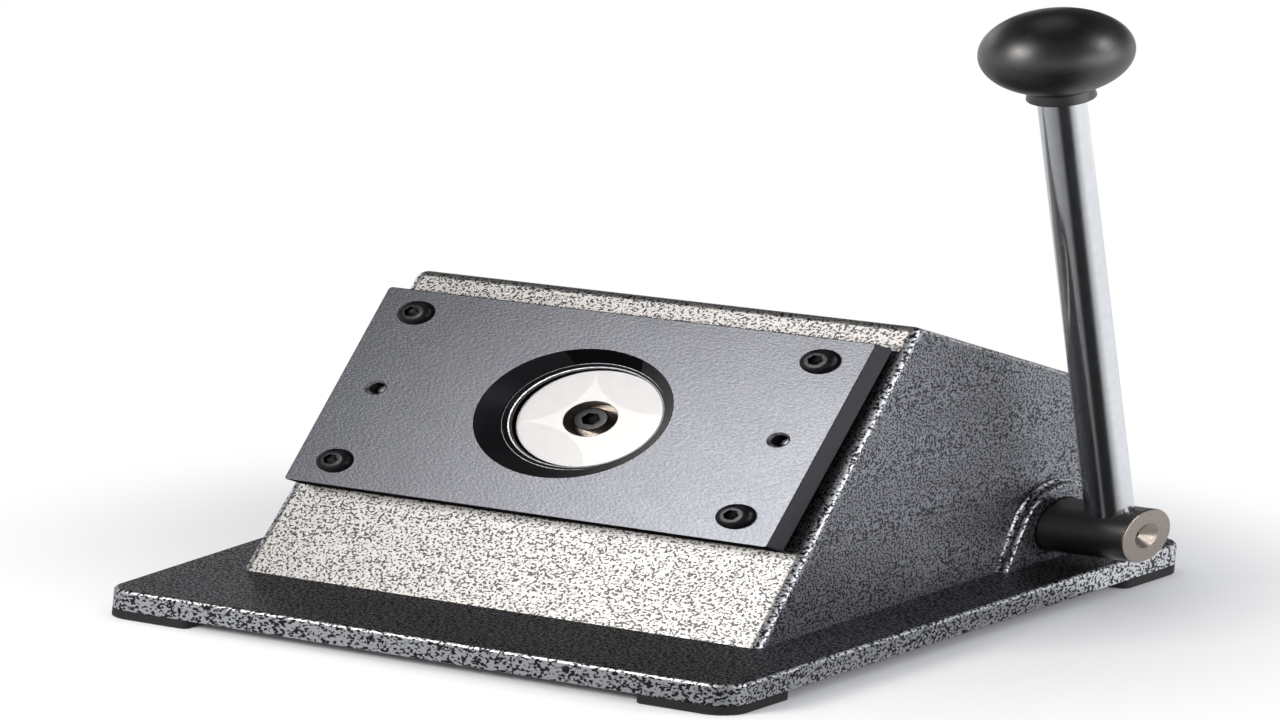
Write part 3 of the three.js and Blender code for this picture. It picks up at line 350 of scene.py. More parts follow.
def faceCoordinates(tree, place, turn):
    # x and u from the middle of the plates, with n outwards, in metres, and turned about n
    flat = mapped(tree, place, "TEXTURE", Location=tuple(plateCentre / metre), Rotation=(casting["faceAngle"], 0, 0))
    return mapped(tree, flat, Rotation=(0, 0, turn))


def makeHammertone(name, silverTone, fleckTone, size, low, high):
    # Hammertone powder coat: silver flake drawn together round small dimples, where the darker ground shows.
    # Flake and ground both shine like metal, so the coat is near white in the light and charcoal out of it.
    finish = {"dimple": 1.2, "depth": 0.08, "flakeDepth": 0.04, "broad": 8.0, "broadShare": 0.05, "relief": 0.6}
    material, tree, place = newMaterial(name)
    specks = noise(tree, place, size, 1.0)
    broad = noise(tree, place, finish["broad"], 1.0)
    silver = ramp(tree, compute(tree, "MULTIPLY_ADD", broad, finish["broadShare"], specks), low, high)
    dimples = noise(tree, place, finish["dimple"], 2.0)
    flakes = bump(tree, silver, finish["flakeDepth"], finish["relief"])
    return closeMaterial(material, {
        "Base Color": blend(tree, silver, shade(fleckTone), shade(silverTone)),
        "Metallic": 1.0,
        "Roughness": ramp(tree, silver, 0.0, 1.0, 0.40, 0.46),
        "Normal": bump(tree, dimples, finish["depth"], finish["relief"], flakes),
    })


def makeGunmetal():
    # Gun-metal plating over a fine blasted steel face: satin grey with the faint leathery grain of the blasting,
    # drawn a little deeper than it is, so that it shows
    finish = {"grey": "#56585d", "shade": "#54565b", "grain": 0.36, "depth": 0.075}
    material, tree, place = newMaterial("blastedGunmetal")
    turn = mapped(tree, faceCoordinates(tree, place, math.radians(20)), Scale=(0.6, 1.0, 1.0))
    grain = noise(tree, turn, finish["grain"], 1.0)
    cloud = noise(tree, place, 6.0, 2.0)
    return closeMaterial(material, {
        "Base Color": blend(tree, ramp(tree, cloud, 0.35, 0.65), shade(finish["shade"]), shade(finish["grey"])),
        "Metallic": 0.95,
        "Roughness": ramp(tree, grain, 0.3, 0.7, 0.31, 0.35),
        "Normal": bump(tree, grain, finish["depth"], 0.6),
    })


def makeLappedSteel():
    # Lapped steel face of the punch: satin white metal with a painted reflection of a softbox, three greyer petals
    # round a brighter star
    finish = {"star": "#b4b4b4", "greyReflection": "#a9a9ab", "tipAngle": math.radians(15), "reach": 1.015, "centre": 1.435}
    radius, soft = 21.5 / metre, 0.3 / metre
    material, tree, place = newMaterial("lappedSteelPaintedReflection")
    # a painted grey petal is where the place, folded into one quarter, lies nearer than its reach to the centre on
    # the diagonal
    turn = faceCoordinates(tree, place, -finish["tipAngle"])
    folded = computeVector(tree, "ABSOLUTE", "Vector", turn)
    level = computeVector(tree, "MULTIPLY", "Vector", folded, (1, 1, 0))
    corner = finish["centre"] * radius / math.sqrt(2)
    away = computeVector(tree, "DISTANCE", "Value", level, (corner, corner, 0))
    edge = finish["reach"] * radius
    star = ramp(tree, away, edge - soft, edge + soft)
    # the quarter at the lower right has no petal and is all painted bright reflection: there x is above 0 and u
    # below it
    sides = addNode(tree, "ShaderNodeSeparateXYZ", {"Vector": turn}).outputs
    least = compute(tree, "MINIMUM", sides["X"], compute(tree, "SUBTRACT", 0.0, sides["Y"]))
    star = compute(tree, "MAXIMUM", star, ramp(tree, least, -soft, soft))
    marks = noise(tree, place, 0.5, 3.0, 0.6)
    return closeMaterial(material, {
        "Base Color": blend(tree, star, shade(finish["greyReflection"]), shade(finish["star"])),
        "Metallic": 1.0,
        "Roughness": ramp(tree, marks, 0.3, 0.7, 0.49, 0.53),
        "Normal": bump(tree, marks, 0.003, 0.3),
    })


def makeSkin(name, size, tones, shine, relief, body, detail=3.0, roughness=0.6):
    # A thin dark skin whose tone, shine and relief all follow the same fine marks
    material, tree, place = newMaterial(name)
    marks = noise(tree, place, size, detail, roughness)
    return closeMaterial(material, {
        "Base Color": blend(tree, marks, *map(shade, tones)),
        "Roughness": ramp(tree, marks, 0.3, 0.7, *shine),
        "Normal": bump(tree, marks, *relief),
        **body,
    })


def makeSteel(name, tone, low, high, lineSize, stretch=(1.0, 1.0, 1.0), darker="#b8b9bc", depth=0.004):
    # Ground or turned steel: bright metal whose roughness follows the tool marks
    material, tree, place = newMaterial(name)
    marks = noise(tree, mapped(tree, place, Scale=stretch), lineSize, 3.0, 0.6)
    return closeMaterial(material, {
        "Base Color": blend(tree, ramp(tree, marks, 0.3, 0.7), shade(tone), shade(darker)),
        "Metallic": 1.0,
        "Roughness": ramp(tree, marks, 0.3, 0.7, low, high),
        "Normal": bump(tree, marks, depth, 0.3),
    })


def makePhenolic():
    # Moulded phenolic: deep glossy black with the very slight waviness of a tumbled moulding
    material, tree, place = newMaterial("mouldedPhenolic")
    wave = noise(tree, place, 7.0, 1.0)
    haze = noise(tree, place, 1.2, 2.0)
    return closeMaterial(material, {
        "Base Color": blend(tree, haze, shade("#050507"), shade("#0a0a0d")),
        "IOR": 1.75,
        "Roughness": ramp(tree, haze, 0.3, 0.7, 0.37, 0.41),
        "Normal": bump(tree, wave, 0.02, 0.2),
    })


hammertone = makeHammertone("hammertoneCoat", "#a6a5a4", "#434345", 0.40, 0.42, 0.53)
# The side, top and edge coats are darker and lighter copies of this one: painted shade on the casting's sides and the
# base's top and underside, and a painted highlight over the rounded edges and the base's rims
shadedSideHammertone = makeHammertone("hammertoneShadedSideCoat", "#9b9ca2", "#35353b", 0.38, 0.47, 0.56)
shadedTopHammertone = makeHammertone("hammertoneShadedTopCoat", "#9a9b9f", "#1c1c20", 0.40, 0.50, 0.60)
highlitEdgeHammertone = makeHammertone("hammertoneHighlitEdgeCoat", "#e2e3e6", "#3e3e43", 0.52, 0.46, 0.54)
gunmetal = makeGunmetal()
lapped = makeLappedSteel()
# Black oxide on steel: a thin dark film with a soft oily shine and fine marks from handling
oxide = {"size": 0.35, "relief": (0.01, 0.4), "body": {"Metallic": 0.75}}
blackOxide = makeSkin("blackOxideSteel", tones=("#1d1e20", "#2b2c2f"), shine=(0.28, 0.42), **oxide)
blackCone = makeSkin("oiledBlackOxide", tones=("#222326", "#2b2c2f"), shine=(0.30, 0.46), **oxide)
# Blackened edge of the plate as it left the saw, with faint scratches: nearly matt. The underside's copy is near
# black, painted shade for the shadow under the plate
rimBlack = makeSkin("blackenedRim", 0.4, ("#1e1e22", "#3d3d43"), (0.40, 0.60), (0.02, 0.5), {"IOR": 1.35})
shadedUnderRim = makeSkin("paintedShadeBlackRim", 0.4, ("#050506", "#0d0d0f"), (0.70, 0.90), (0.02, 0.5), {"IOR": 1.08})
# Moulded rubber: matt black with a faint bloom and a fine pebbled skin
rubber = makeSkin("mouldedRubber", 0.5, ("#141516", "#232426"), (0.72, 0.88), (0.03, 0.5), {"IOR": 1.52}, 2.0, 0.5)
polished = makeSteel("groundSteel", "#a4a4a6", 0.34, 0.42, 0.5, darker="#96969a")
# Steel for the ring's bore and the punch's counterbore, browner than the faces round them and in the counterbore
# darker than the punch's face: painted shade for these recesses
boreSteel = makeSteel("shadedRecessSteel", "#958d84", 0.34, 0.44, 0.4, darker="#7c756d")
turnedSteel = makeSteel("turnedSteel", "#85888d", 0.30, 0.45, 0.3, darker="#6c6e73")
burnished = makeSteel("burnishedBar", "#a89d93", 0.30, 0.40, 0.3, (0.3, 1.0, 1.0), "#968c83")
oiledBar = makeSteel("oiledBar", "#969391", 0.33, 0.37, 1.5, (0.3, 1.0, 1.0), "#8b8886", 0.001)
finishes = {
    "black_oxide_steel": blackOxide, "polished_steel": polished, "turned_steel": turnedSteel,
    "burnished_steel": burnished, "black_rubber": rubber, "hammertone_paint": hammertone, "satin_gunmetal": gunmetal,
    "zinc_steel": makeSteel("brightZinc", "#c2c4c8", 0.28, 0.42, 0.9, darker="#a7aaae"),
    "bronze": makeSteel("bearingBronze", "#b18a4e", 0.30, 0.45, 0.4, darker="#94713d"),
    "spring_steel": makeSteel("oilTemperedWire", "#5f6368", 0.30, 0.42, 0.3, darker="#4a4d51"),
    "chrome_plate": makeSteel("chromePlate", "#e9eaec", 0.17, 0.21, 2.0, darker="#e2e3e5", depth=0.001),
    "gloss_phenolic": makePhenolic(),
}
print("materials made")


# Base plate, with its window, the cover's recess and the screw holes underneath
cornerSigns = {"front_right": (1, -1), "front_left": (-1, -1), "rear_right": (1, 1), "rear_left": (-1, 1)}
base = {
    "cornerRadius": 8, "edgeRadius": 1.5, "underEdge": 0.4, "rim": 4,
    "window": (86, 132), "windowRadius": 6, "coverLip": 9, "coverThickness": 1.5, "gap": 0.3,
    "bodyHead": 5.3, "bodyHeadDepth": 6.5, "coverShank": 1.8, "footScrew": 2.3, "overrun": 2,
}


def makeBase():
    width, depth, thickness = baseHigh - baseLow
    rim, past = base["rim"], base["overrun"]
    section = np.concatenate([
        rounded([[rim, 0], [0, 0], [0, thickness / 2]], base["underEdge"], 4)[1:],
        rounded([[0, thickness / 2], [0, thickness], [rim, thickness]], base["edgeRadius"], 10)[:-1],
    ])
    piece = pieceOf("basePlate", slab(width, depth, base["cornerRadius"], section, 16))
    lip = 2 * (base["coverLip"] + base["gap"])
    place = moved(asMade, 0, middleOf("bottom_cover")[1])
    cutters = []
    for wider, top in ((0, thickness + past), (lip, base["coverThickness"])):
        side = np.array([[0, -past], [0, top]], float)
        size = np.array(base["window"]) + wider
        cutters.append(cutterOf(slab(*size, base["windowRadius"], side), place))
    holes = {
        "body_screw": (base["bodyHead"], base["bodyHeadDepth"]),
        "cover_screw": (base["coverShank"], thickness - past),
        "foot_screw": (base["footScrew"], thickness - past),
    }
    for name in cornerSigns:
        for kind, (radius, top) in holes.items():
            x, y = middleOf(f"{kind}_{name}")[:2]
            cutters.append(drill(radius, -past, top, moved(asMade, x, y)))
    return smoothed(carve(piece, cutters))


def paintCoat(piece, axis, least, edge=None):
    # Where the normal's part along the axis passes the least value, the faces take the second finish, and from the
    # edge value up to it the third. On the casting and the base the finishes are darker and lighter copies of one
    # coat: painted shade on the flats that face aside or up, and a painted highlight over the rounded edges and rims
    part = np.abs(facesOf(piece)[0][:, axis])
    index = (part > least).astype(np.int32)
    if edge is not None:
        index[(part > edge) & (part < least)] = 2
    piece.data.polygons.foreach_set("material_index", index)


# The base's top and underside take the painted-shade coat, its rims and rounded edges the painted-highlight coat
baseCoats = [highlitEdgeHammertone, shadedTopHammertone]
paintCoat(dress(makeBase(), "frame", "hammertone_paint", "base_plate", coats=baseCoats), 2, 0.9)
print("base plate made")


# Body casting: its side profile carried from side to side, with its wall, bosses and holes
def castProfile(front, wall):
    # The toe, ridge, rear top and heel of the profile, moved in by the walls, as y and z. Each corner is where
    # two of its straight sides meet.
    back = casting["backAngle"]
    ridge = np.array([toeY, baseTop]) + casting["faceLength"] * np.array([faceCos, faceSin])
    normals = np.array([[-faceSin, faceCos], [math.sin(back), math.cos(back)], [1, 0], [0, -1]])
    reaches = np.array([
        normals[0] @ [toeY, baseTop] - front,
        normals[1] @ ridge - wall,
        casting["heel"] - wall,
        casting["sunk"] - baseTop,
    ])
    pairs = [(3, 0), (0, 1), (1, 2), (2, 3)]
    return np.array([np.linalg.solve(normals[list(pair)], reaches[list(pair)]) for pair in pairs])


def castForm(front, wall, radius, steps=8):
    # Rows run from one side to the other. Near each side the profile draws in by r (1 - cos a) while the row
    # moves out by r sin a, and the side itself leans in from foot to ridge.
    turn = np.linspace(0, np.pi / 2, steps + 1)
    rows = []
    for inset, reach in zip(radius * (1 - np.cos(turn)), radius * (np.sin(turn) - 1)):
        soft = max(radius - inset, 0.01)
        rows.append((reach, rounded(castProfile(front + inset, wall + inset), [0, soft, soft, 0], 8, loop=True)))
    surface = []
    for sign, ordered in ((-1, rows[::-1]), (1, rows)):
        for reach, ring in ordered:
            half = casting["footWidth"] / 2 - wall - sideLean * (ring[:, 1] - baseTop) + reach
            surface.append(np.column_stack([sign * half, ring]))
    return np.array(surface)


def bossOutline(inset, steps=40):
    # A round head on two spread legs: an arc between the two lines that run from the feet and touch it
    radius, foot = casting["bossRadius"] - inset, casting["bossFootHalf"] - inset
    drop = shaftAxis[2] - baseTop
    tangent = math.acos(radius / math.hypot(foot, drop)) - math.atan2(drop, foot)
    angle = np.linspace(tangent, math.pi - tangent, steps)
    head = np.column_stack([radius * np.cos(angle), radius * np.sin(angle)])
    return np.concatenate([[[foot, -drop]], head, [[-foot, -drop]]])


def makeBoss(sign):
    # The outline grows into a fillet at the wall and draws in round the edge of its face
    wallX = casting["footWidth"] / 2 - sideLean * (shaftAxis[2] - baseTop)
    faceX, start = wallX + casting["bossDepth"], wallX - casting["bossSunk"]
    edge, fillet = casting["bossEdge"], casting["bossFillet"]
    section = np.concatenate([
        [[-fillet, wallX - casting["wall"] / 2]],
        rounded([[-fillet, start], [0, start], [0, faceX - edge]], [0, fillet * 0.9, 0], 6),
        rounded([[0, faceX - edge], [0, faceX], [edge * 2, faceX]], [0, edge, 0], 6)[1:-1],
    ])
    outlines = [(bossOutline(inset), x) for inset, x in section]
    rows = np.array([np.column_stack([outline, np.full(len(outline), x)]) for outline, x in outlines])
    rows[..., 0] = np.minimum(rows[..., 0], casting["heel"] - shaftAxis[1] - casting["bossSunk"])
    return cutterOf(rows * np.array([1.0, 1.0, sign]), onShaft)


def makeCasting():
    piece = pieceOf("bodyCasting", castForm(0, 0, casting["edgeRadius"]))
    carve(piece, [makeBoss(1), makeBoss(-1)], "UNION")
    reach, front, wall = casting["footWidth"], casting["frontWall"], casting["wall"]
    cavity = cutterOf(castForm(front, wall, casting["edgeRadius"]))
    floorCut = cutterOf(slab(2 * reach, 2 * reach, 1, np.array([[0, -reach], [0, baseTop]], float), 2))
    shaftCut = drill(casting["shaftHole"], -reach, reach, onShaft, 96)
    punchCut = drill(casting["punchHole"], -2 * front, wall, onPlate, 96)
    return smoothed(carve(piece, [cavity, floorCut, shaftCut, punchCut]))


bodyNodes = ("body_shell", "side_boss_right", "side_boss_left")
# The casting's front keeps the plain coat, its sides take the painted-shade coat and its rounded edges the
# painted-highlight coat
bodyCoats = [hammertone, shadedSideHammertone, highlitEdgeHammertone]
paintCoat(dress(makeCasting(), "frame", "hammertone_paint", *bodyNodes, coats=bodyCoats), 0, 0.93, 0.3)
print("body casting made")


# Die plate: a slab with the countersunk mouth, the screw holes and the two dowel holes
die = {
    "size": (147, 89), "cornerRadius": 1.2, "bottom": 3.6, "thickness": 9.5, "edge": 0.35,
    "mouthRadius": 28.5, "throatRadius": 23.4, "mouthEdge": 0.35, "ringSeat": 3.3, "ringHole": 26.3,
    "screwHole": 3.3, "dowelHole": 2.4, "dowelChamfer": 0.9, "overrun": 2,
}
dieTop = die["bottom"] + die["thickness"]
screwNames = [f"plate_screw_{name}" for name in ("top_right", "top_left", "bottom_left", "bottom_right")]
dowelNames = ["dowel_right", "dowel_left"]


def facePlace(node):
    # where a node's middle lies on the face, as x and u
    x, y, z = middleOf(node)
    return x, (y - toeY) * faceCos + (z - baseTop) * faceSin


def atNode(node, height=0.0):
    # over a node's middle, at a height above the face
    return moved(onFace, *facePlace(node), height)


def makeDiePlate():
    low, high, soft = die["bottom"], dieTop, die["edge"]
    section = np.concatenate([
        rounded([[2 * soft, low], [0, low], [0, low + 2]], soft, 3)[1:],
        rounded([[0, high - 2], [0, high], [2 * soft, high]], soft, 5)[:-1],
    ])
    piece = pieceOf("diePlate", slab(*die["size"], die["cornerRadius"], section, 6), onPlate)
    mouth, seat, past = die["mouthRadius"], low + die["ringSeat"], die["overrun"]
    bore = rounded([
        [die["ringHole"], low - past], [die["ringHole"], seat], [die["throatRadius"], seat], [mouth, high],
        [mouth + past, high + 0.01], [mouth + past, high + past],
    ], [0, 0, 0.2, die["mouthEdge"], 0, 0], 5)
    rim, chamfer = die["dowelHole"], die["dowelChamfer"]
    hole = np.array([[rim, 0], [rim, high - chamfer], [rim + 2 * chamfer, high + chamfer]], float)
    cutters = [cutterOf(turned(bore, 160), onPlate)]
    cutters += [drill(die["screwHole"], 0, high + past, atNode(node)) for node in screwNames]
    cutters += [cutterOf(turned(hole, 48), atNode(node)) for node in dowelNames]
    return smoothed(carve(piece, cutters))


# The parts of a face's normal along the plate's own that sort it, and how far the mouth and dowel holes reach
sorting = {"face": 0.8, "flat": 0.98, "under": 0.7, "bevel": (0.5, 0.9), "besideMouth": 1, "besideDowel": 4}


def paintPlate(piece):
    # The face keeps the gun-metal finish, the rim and the mouth are darker, the rim's underside is near black as
    # painted shade, and the dowel holes have bare edges.
    # A face is sorted by its normal against the plate's own and by how far its middle lies from an axis.
    normals, middles = facesOf(piece)
    x, u, n = fromPlate(middles)
    outward = normals @ outOfFace
    inMouth = np.hypot(x, u) < die["mouthRadius"] + sorting["besideMouth"]
    index = np.where(outward > sorting["face"], 0, 1)
    index = np.where((outward < sorting["flat"]) & inMouth, 2, index)
    index = np.where(normals @ upSlope < -sorting["under"], 4, index)
    bevel = (outward > sorting["bevel"][0]) & (outward < sorting["bevel"][1])
    for node in dowelNames:
        holeX, holeU = facePlace(node)
        index = np.where(bevel & (np.hypot(x - holeX, u - holeU + plateU) < sorting["besideDowel"]), 3, index)
    piece.data.polygons.foreach_set("material_index", index.astype(np.int32))


plateCoats = [gunmetal, rimBlack, blackCone, polished, shadedUnderRim]
paintPlate(dress(makeDiePlate(), "frame", "satin_gunmetal", "die_plate", coats=plateCoats))
print("die plate made")


# Turned pieces of the die: ring, punch and its screw
def turnedPiece(name, profile, place, sides=96, cutters=()):
    piece = pieceOf(name, turned(np.asarray(profile, float), sides), place)
    if cutters:
        carve(piece, list(cutters))
    return smoothed(piece)


def turnedRing(name, corners, soft, steps, place, sides=160):
    # A closed section with rounded corners, carried round and open at neither end
    section = rounded(corners, soft, steps, loop=True)
    points = turned(np.concatenate([section, section[:1]]), sides)
    return smoothed(pieceOf(name, points, place, capped=False))


def paintTurned(piece, bands):
    # Sorts the faces of a turned piece of the die by where they lie: each band is a material number with the
    # least and most radius and height of the faces' middles
    x, u, n = fromPlate(facesOf(piece)[1])
    far = np.hypot(x, u)
    index = np.zeros(len(far), np.int32)
    for number, near, most, low, high in bands:
        index[(far > near) & (far < most) & (n > low) & (n < high)] = number
    piece.data.polygons.foreach_set("material_index", index)


dieRing = {"inner": 21.75, "outer": 26, "height": 3, "soft": 0.2, "coneTop": 23.3, "coneFoot": 22.4, "land": 1.35}


def makeRing():
    low, high = die["bottom"], die["bottom"] + dieRing["height"]
    land = high - dieRing["land"]
    return turnedRing("dieRing", [
        [dieRing["inner"], low], [dieRing["outer"], low], [dieRing["outer"], high], [dieRing["coneTop"], high],
        [dieRing["coneFoot"], land], [dieRing["inner"], land],
    ], dieRing["soft"], 3, onPlate)


paintTurned(
    dress(makeRing(), "frame", "polished_steel", "die_ring", coats=[turnedSteel, blackCone, boreSteel]),
    [(1, dieRing["coneFoot"] + 0.05, 24, 5, 9), (2, 0, dieRing["inner"] + 0.05, 0, 5.1)],
)
punch = {
    "radius": 21.5, "top": 2.4, "thickness": 11, "soft": 0.35,
    "counterbore": 7.7, "boreDepth": 6.6, "screwHole": 3.3, "ramHole": 8.3, "ramDepth": 2,
}


def makePunch():
    top, bottom, radius = punch["top"], punch["top"] - punch["thickness"], punch["radius"]
    bore, hole, ram = punch["counterbore"], punch["screwHole"], punch["ramHole"]
    floor, roof = top - punch["boreDepth"], bottom + punch["ramDepth"]
    return turnedRing("punchDisc", [
        [hole, roof], [ram, roof], [ram, bottom], [radius, bottom], [radius, top], [bore, top], [bore, floor],
        [hole, floor],
    ], [0, 0, 0.2, 0.2, punch["soft"], 0.3, 0.3, 0], 5, onPlate)


paintTurned(
    dress(makePunch(), "ram", "polished_steel", "punch", coats=[lapped, boreSteel]),
    [(1, 0, punch["counterbore"] + 0.1, -9, punch["top"] - 0.2)],
)


# Screws: a turned head and shank with a hexagonal socket
def hexCutter(acrossFlats, low, high, place):
    # A hexagon along z with a shallow cone at its floor, as the drill leaves it
    radius, tip, tipDepth = acrossFlats / math.sqrt(3), 0.05, 0.45
    profile = np.array([[tip, low - radius * tipDepth], [radius, low], [radius, high]])
    return cutterOf(turned(profile, 6), place)


def socketScrew(name, head, size, place, sides=48):
    # The head's profile is a list of radius and height from its seat up, and the shank runs down from the seat
    top, shank, length, chamfer, past = head[-1][1], size["shank"], size["length"], 0.4, 1
    tip = [[pole, -length], [shank - chamfer, -length], [shank, -length + chamfer], [shank, 0]]
    cutter = hexCutter(size["socket"], top - size["depth"], top + past, place)
    return turnedPiece(name, np.concatenate([tip, head, [[pole, top]]]), place, sides, [cutter])


def cylinderHead(radius, height, soft=0.4, seatSoft=0.15):
    corners = [[radius - 1, 0], [radius, 0], [radius, height], [radius - 2, height]]
    return rounded(corners, [0, seatSoft, soft, 0], 4)[1:]


def buttonHead(radius, flat, height, steps=14, rim=0.12):
    # An elliptic dome from the rim up to the flat round the socket: r = flat + (radius - flat) cos a, z = h sin a
    angle = np.linspace(0, math.pi / 2, steps)
    dome = np.column_stack([flat + (radius - flat) * np.cos(angle), height * np.sin(angle)])
    return np.concatenate([[[radius - rim, 0], [radius, rim]], dome[1:]])


plateScrew = {
    "radius": 5.4, "flat": 2.9, "height": 3.3, "shank": 3, "length": 20, "socket": 4, "depth": 2.2, "lift": 0.02,
}
dome = buttonHead(plateScrew["radius"], plateScrew["flat"], plateScrew["height"])
for number, node in enumerate(screwNames):
    screw = socketScrew(f"plateScrew{number + 1}", dome, plateScrew, atNode(node, dieTop + plateScrew["lift"]))
    dress(screw, "frame", "black_oxide_steel", node)

punchScrew = {"radius": 5, "height": 6, "shank": 3, "length": 20, "socket": 5, "depth": 3.4, "lift": 0.3}
seat = punch["top"] - punch["boreDepth"] + punchScrew["lift"]
cap = cylinderHead(punchScrew["radius"], punchScrew["height"])
screw = socketScrew("punchScrew", cap, punchScrew, moved(onFace, 0, plateU, seat), 96)
dress(screw, "ram", "polished_steel", "punch_screw", coats=[blackOxide])

dowel = {"radius": 2.1, "low": -6, "high": dieTop - 5, "soft": 0.4}
pinProfile = rounded([
    [pole, dowel["low"]], [dowel["radius"], dowel["low"]], [dowel["radius"], dowel["high"]], [pole, dowel["high"]],
], [0, dowel["soft"], dowel["soft"], 0], 4)
for number, node in enumerate(dowelNames):
    pin = turnedPiece(f"dowelPin{number + 1}", pinProfile, atNode(node), 40)
    dress(pin, "frame", "turned_steel", node)
print("die, punch and screws made")


# Shaft, lever and knob
shaft = {
    "radius": 11.3, "chamfer": 0.6, "centreHole": 5.4, "centreDepth": 2.8, "pilot": 1.2, "pilotDepth": 6,
    "groove": 1.2, "grooveGap": 0.3, "rodHole": 6.03, "rodDepth": 7.3,
}


def makeShaft():
    low, high, radius, chamfer = shaftLow[0], shaftHigh[0], shaft["radius"], shaft["chamfer"]
    clipLow, clipHigh = nodeBox("retaining_ring")
    ringLeft, ringRight = clipLow[0] - shaft["grooveGap"], clipHigh[0] + shaft["grooveGap"]
    neck = radius - shaft["groove"]
    corners = [
        [pole, low], [radius, low], [radius, ringLeft], [neck, ringLeft], [neck, ringRight], [radius, ringRight],
        [radius, high], [shaft["centreHole"], high], [shaft["pilot"], high - shaft["centreDepth"]],
        [shaft["pilot"], high - shaft["pilotDepth"]], [pole, high - shaft["pilotDepth"]],
    ]
    profile = rounded(corners, [0, chamfer, 0.1, 0.1, 0.1, 0.1, chamfer, 0.3, 0.1, 0, 0], 5)
    rod = drill(shaft["rodHole"], -shaft["rodDepth"], 2 * radius, onLever, 96)
    return turnedPiece("crossShaft", profile, onShaft, 128, [rod])


paintCoat(dress(makeShaft(), "crank", "burnished_steel", "cross_shaft", coats=[oiledBar, burnished]), 0, 0.6)

shaftRings = {
    "thrustWasher": {"node": "thrust_washer", "inner": 11.55, "outer": 14, "soft": 0.25, "slot": "zinc_steel"},
    "retainingRing": {"node": "retaining_ring", "inner": 10.4, "outer": 13.4, "soft": 0.2, "slot": "spring_steel"},
}
for name, ring in shaftRings.items():
    left, right = (corner[0] for corner in nodeBox(ring["node"]))
    inner, outer = ring["inner"], ring["outer"]
    outline = [[inner, left], [outer, left], [outer, right], [inner, right]]
    dress(turnedRing(name, outline, ring["soft"], 4, onShaft, 96), "crank", ring["slot"], ring["node"])

lever = {"radius": 6, "length": 232, "depth": 7, "chamfer": 0.6, "tipRadius": 4, "tipLength": 14}
knob = {
    "radius": 19, "neck": 8.65, "neckReach": 22.3, "neckSoft": 0.6, "bore": 7.3, "boreDepth": 18,
    "waist": 0.6, "joinAngle": 0.05, "poleAngle": 0.0005, "steps": 72,
}


def makeRod():
    top = lever["length"] - knob["neckReach"] - 0.3
    tip = lever["tipRadius"]
    corners = [
        [pole, -lever["depth"]], [lever["radius"], -lever["depth"]], [lever["radius"], top], [tip, top],
        [tip, top + lever["tipLength"]], [pole, top + lever["tipLength"]],
    ]
    return turnedPiece("leverRod", rounded(corners, [0, 0.5, lever["chamfer"], 0, 0.4, 0], 5), onLever, 96)


dress(makeRod(), "crank", "chrome_plate", "lever_rod")


def makeKnob():
    # A ball that runs into a short neck: the arc goes from the neck's angle to the top,
    # r = R sin a and z = length - R cos a, and the neck's end has a rounded rim
    radius, neck, end = knob["radius"], knob["neck"], lever["length"] - knob["neckReach"]
    start = math.asin((neck - knob["waist"]) / radius)
    angle = np.linspace(start + knob["joinAngle"], math.pi - knob["poleAngle"], knob["steps"])
    ball = np.column_stack([radius * np.sin(angle), lever["length"] - radius * np.cos(angle)])
    bore, roof = knob["bore"], end + knob["boreDepth"]
    foot = rounded([
        [bore, roof], [bore, end], [neck, end], [neck - 0.5, ball[0, 1] - knob["waist"]], ball[0], ball[3],
    ], [0, 0.4, knob["neckSoft"], 0.7, 0.7, 0], 6)
    return turnedPiece("knobBall", np.concatenate([[[pole, roof]], foot[:-1], ball[3:]]), onLever, 128)


dress(makeKnob(), "crank", "gloss_phenolic", "knob")
print("shaft, lever and knob made")


# Return spring between the fork and the guide, made at one length: in use it shortens as the ram rises
spring = {"wire": 2.2, "meanRadius": 10.8, "turns": 5, "endClimb": 2.35, "travel": 9.95, "perTurn": 48, "sides": 14}


def reachOf(node):
    # lowest and highest n of a node's own points, square to the plates
    vertices = frame["nodes"][node].data.vertices
    places = np.zeros(3 * len(vertices))
    vertices.foreach_get("co", places)
    heights = (places.reshape(-1, 3) * metre - np.array([0, toeY, baseTop])) @ outOfFace
    return heights.min(), heights.max()


def makeSpring():
    # A round wire on a helix: its middle turns at the mean radius while it climbs, by little more than the wire in
    # the first and last turn and evenly between. Each ring of points stands square to the path.
    low, high = reachOf("return_spring")
    radius, wire, turns = spring["meanRadius"], spring["wire"] / 2, spring["turns"]
    rise, end = high - low - spring["wire"], spring["endClimb"]
    turn = np.linspace(0, turns, turns * spring["perTurn"] + 1)
    angle = turn * 2 * np.pi
    height = low + wire + np.interp(turn, [0, 1, turns - 1, turns], [0, end, rise - end, rise])
    path = np.column_stack([radius * np.cos(angle), radius * np.sin(angle), height])
    along = np.gradient(path, axis=0)
    along /= np.linalg.norm(along, axis=1)[:, None]
    outward = np.column_stack([np.cos(angle), np.sin(angle), 0 * angle])
    upward = np.cross(along, outward)
    roundWire = np.arange(spring["sides"]) * 2 * np.pi / spring["sides"]
    ring = np.cos(roundWire)[:, None] * outward[:, None] + np.sin(roundWire)[:, None] * upward[:, None]
    points = path[:, None] + wire * ring
    return smoothed(pieceOf("returnSpring", points, onPlate)), low, high


coil, springFoot, springHead = makeSpring()
dress(coil, "frame", "spring_steel", "return_spring")
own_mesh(coil)
print("return spring made")


# Feet and the screws underneath
foot = {
    "side": 28, "height": 4, "radii": (8, 2, 2, 2), "edge": 0.5, "rim": 3,
    "recess": 4.2, "recessDepth": 2.6, "hole": 2.3,
}


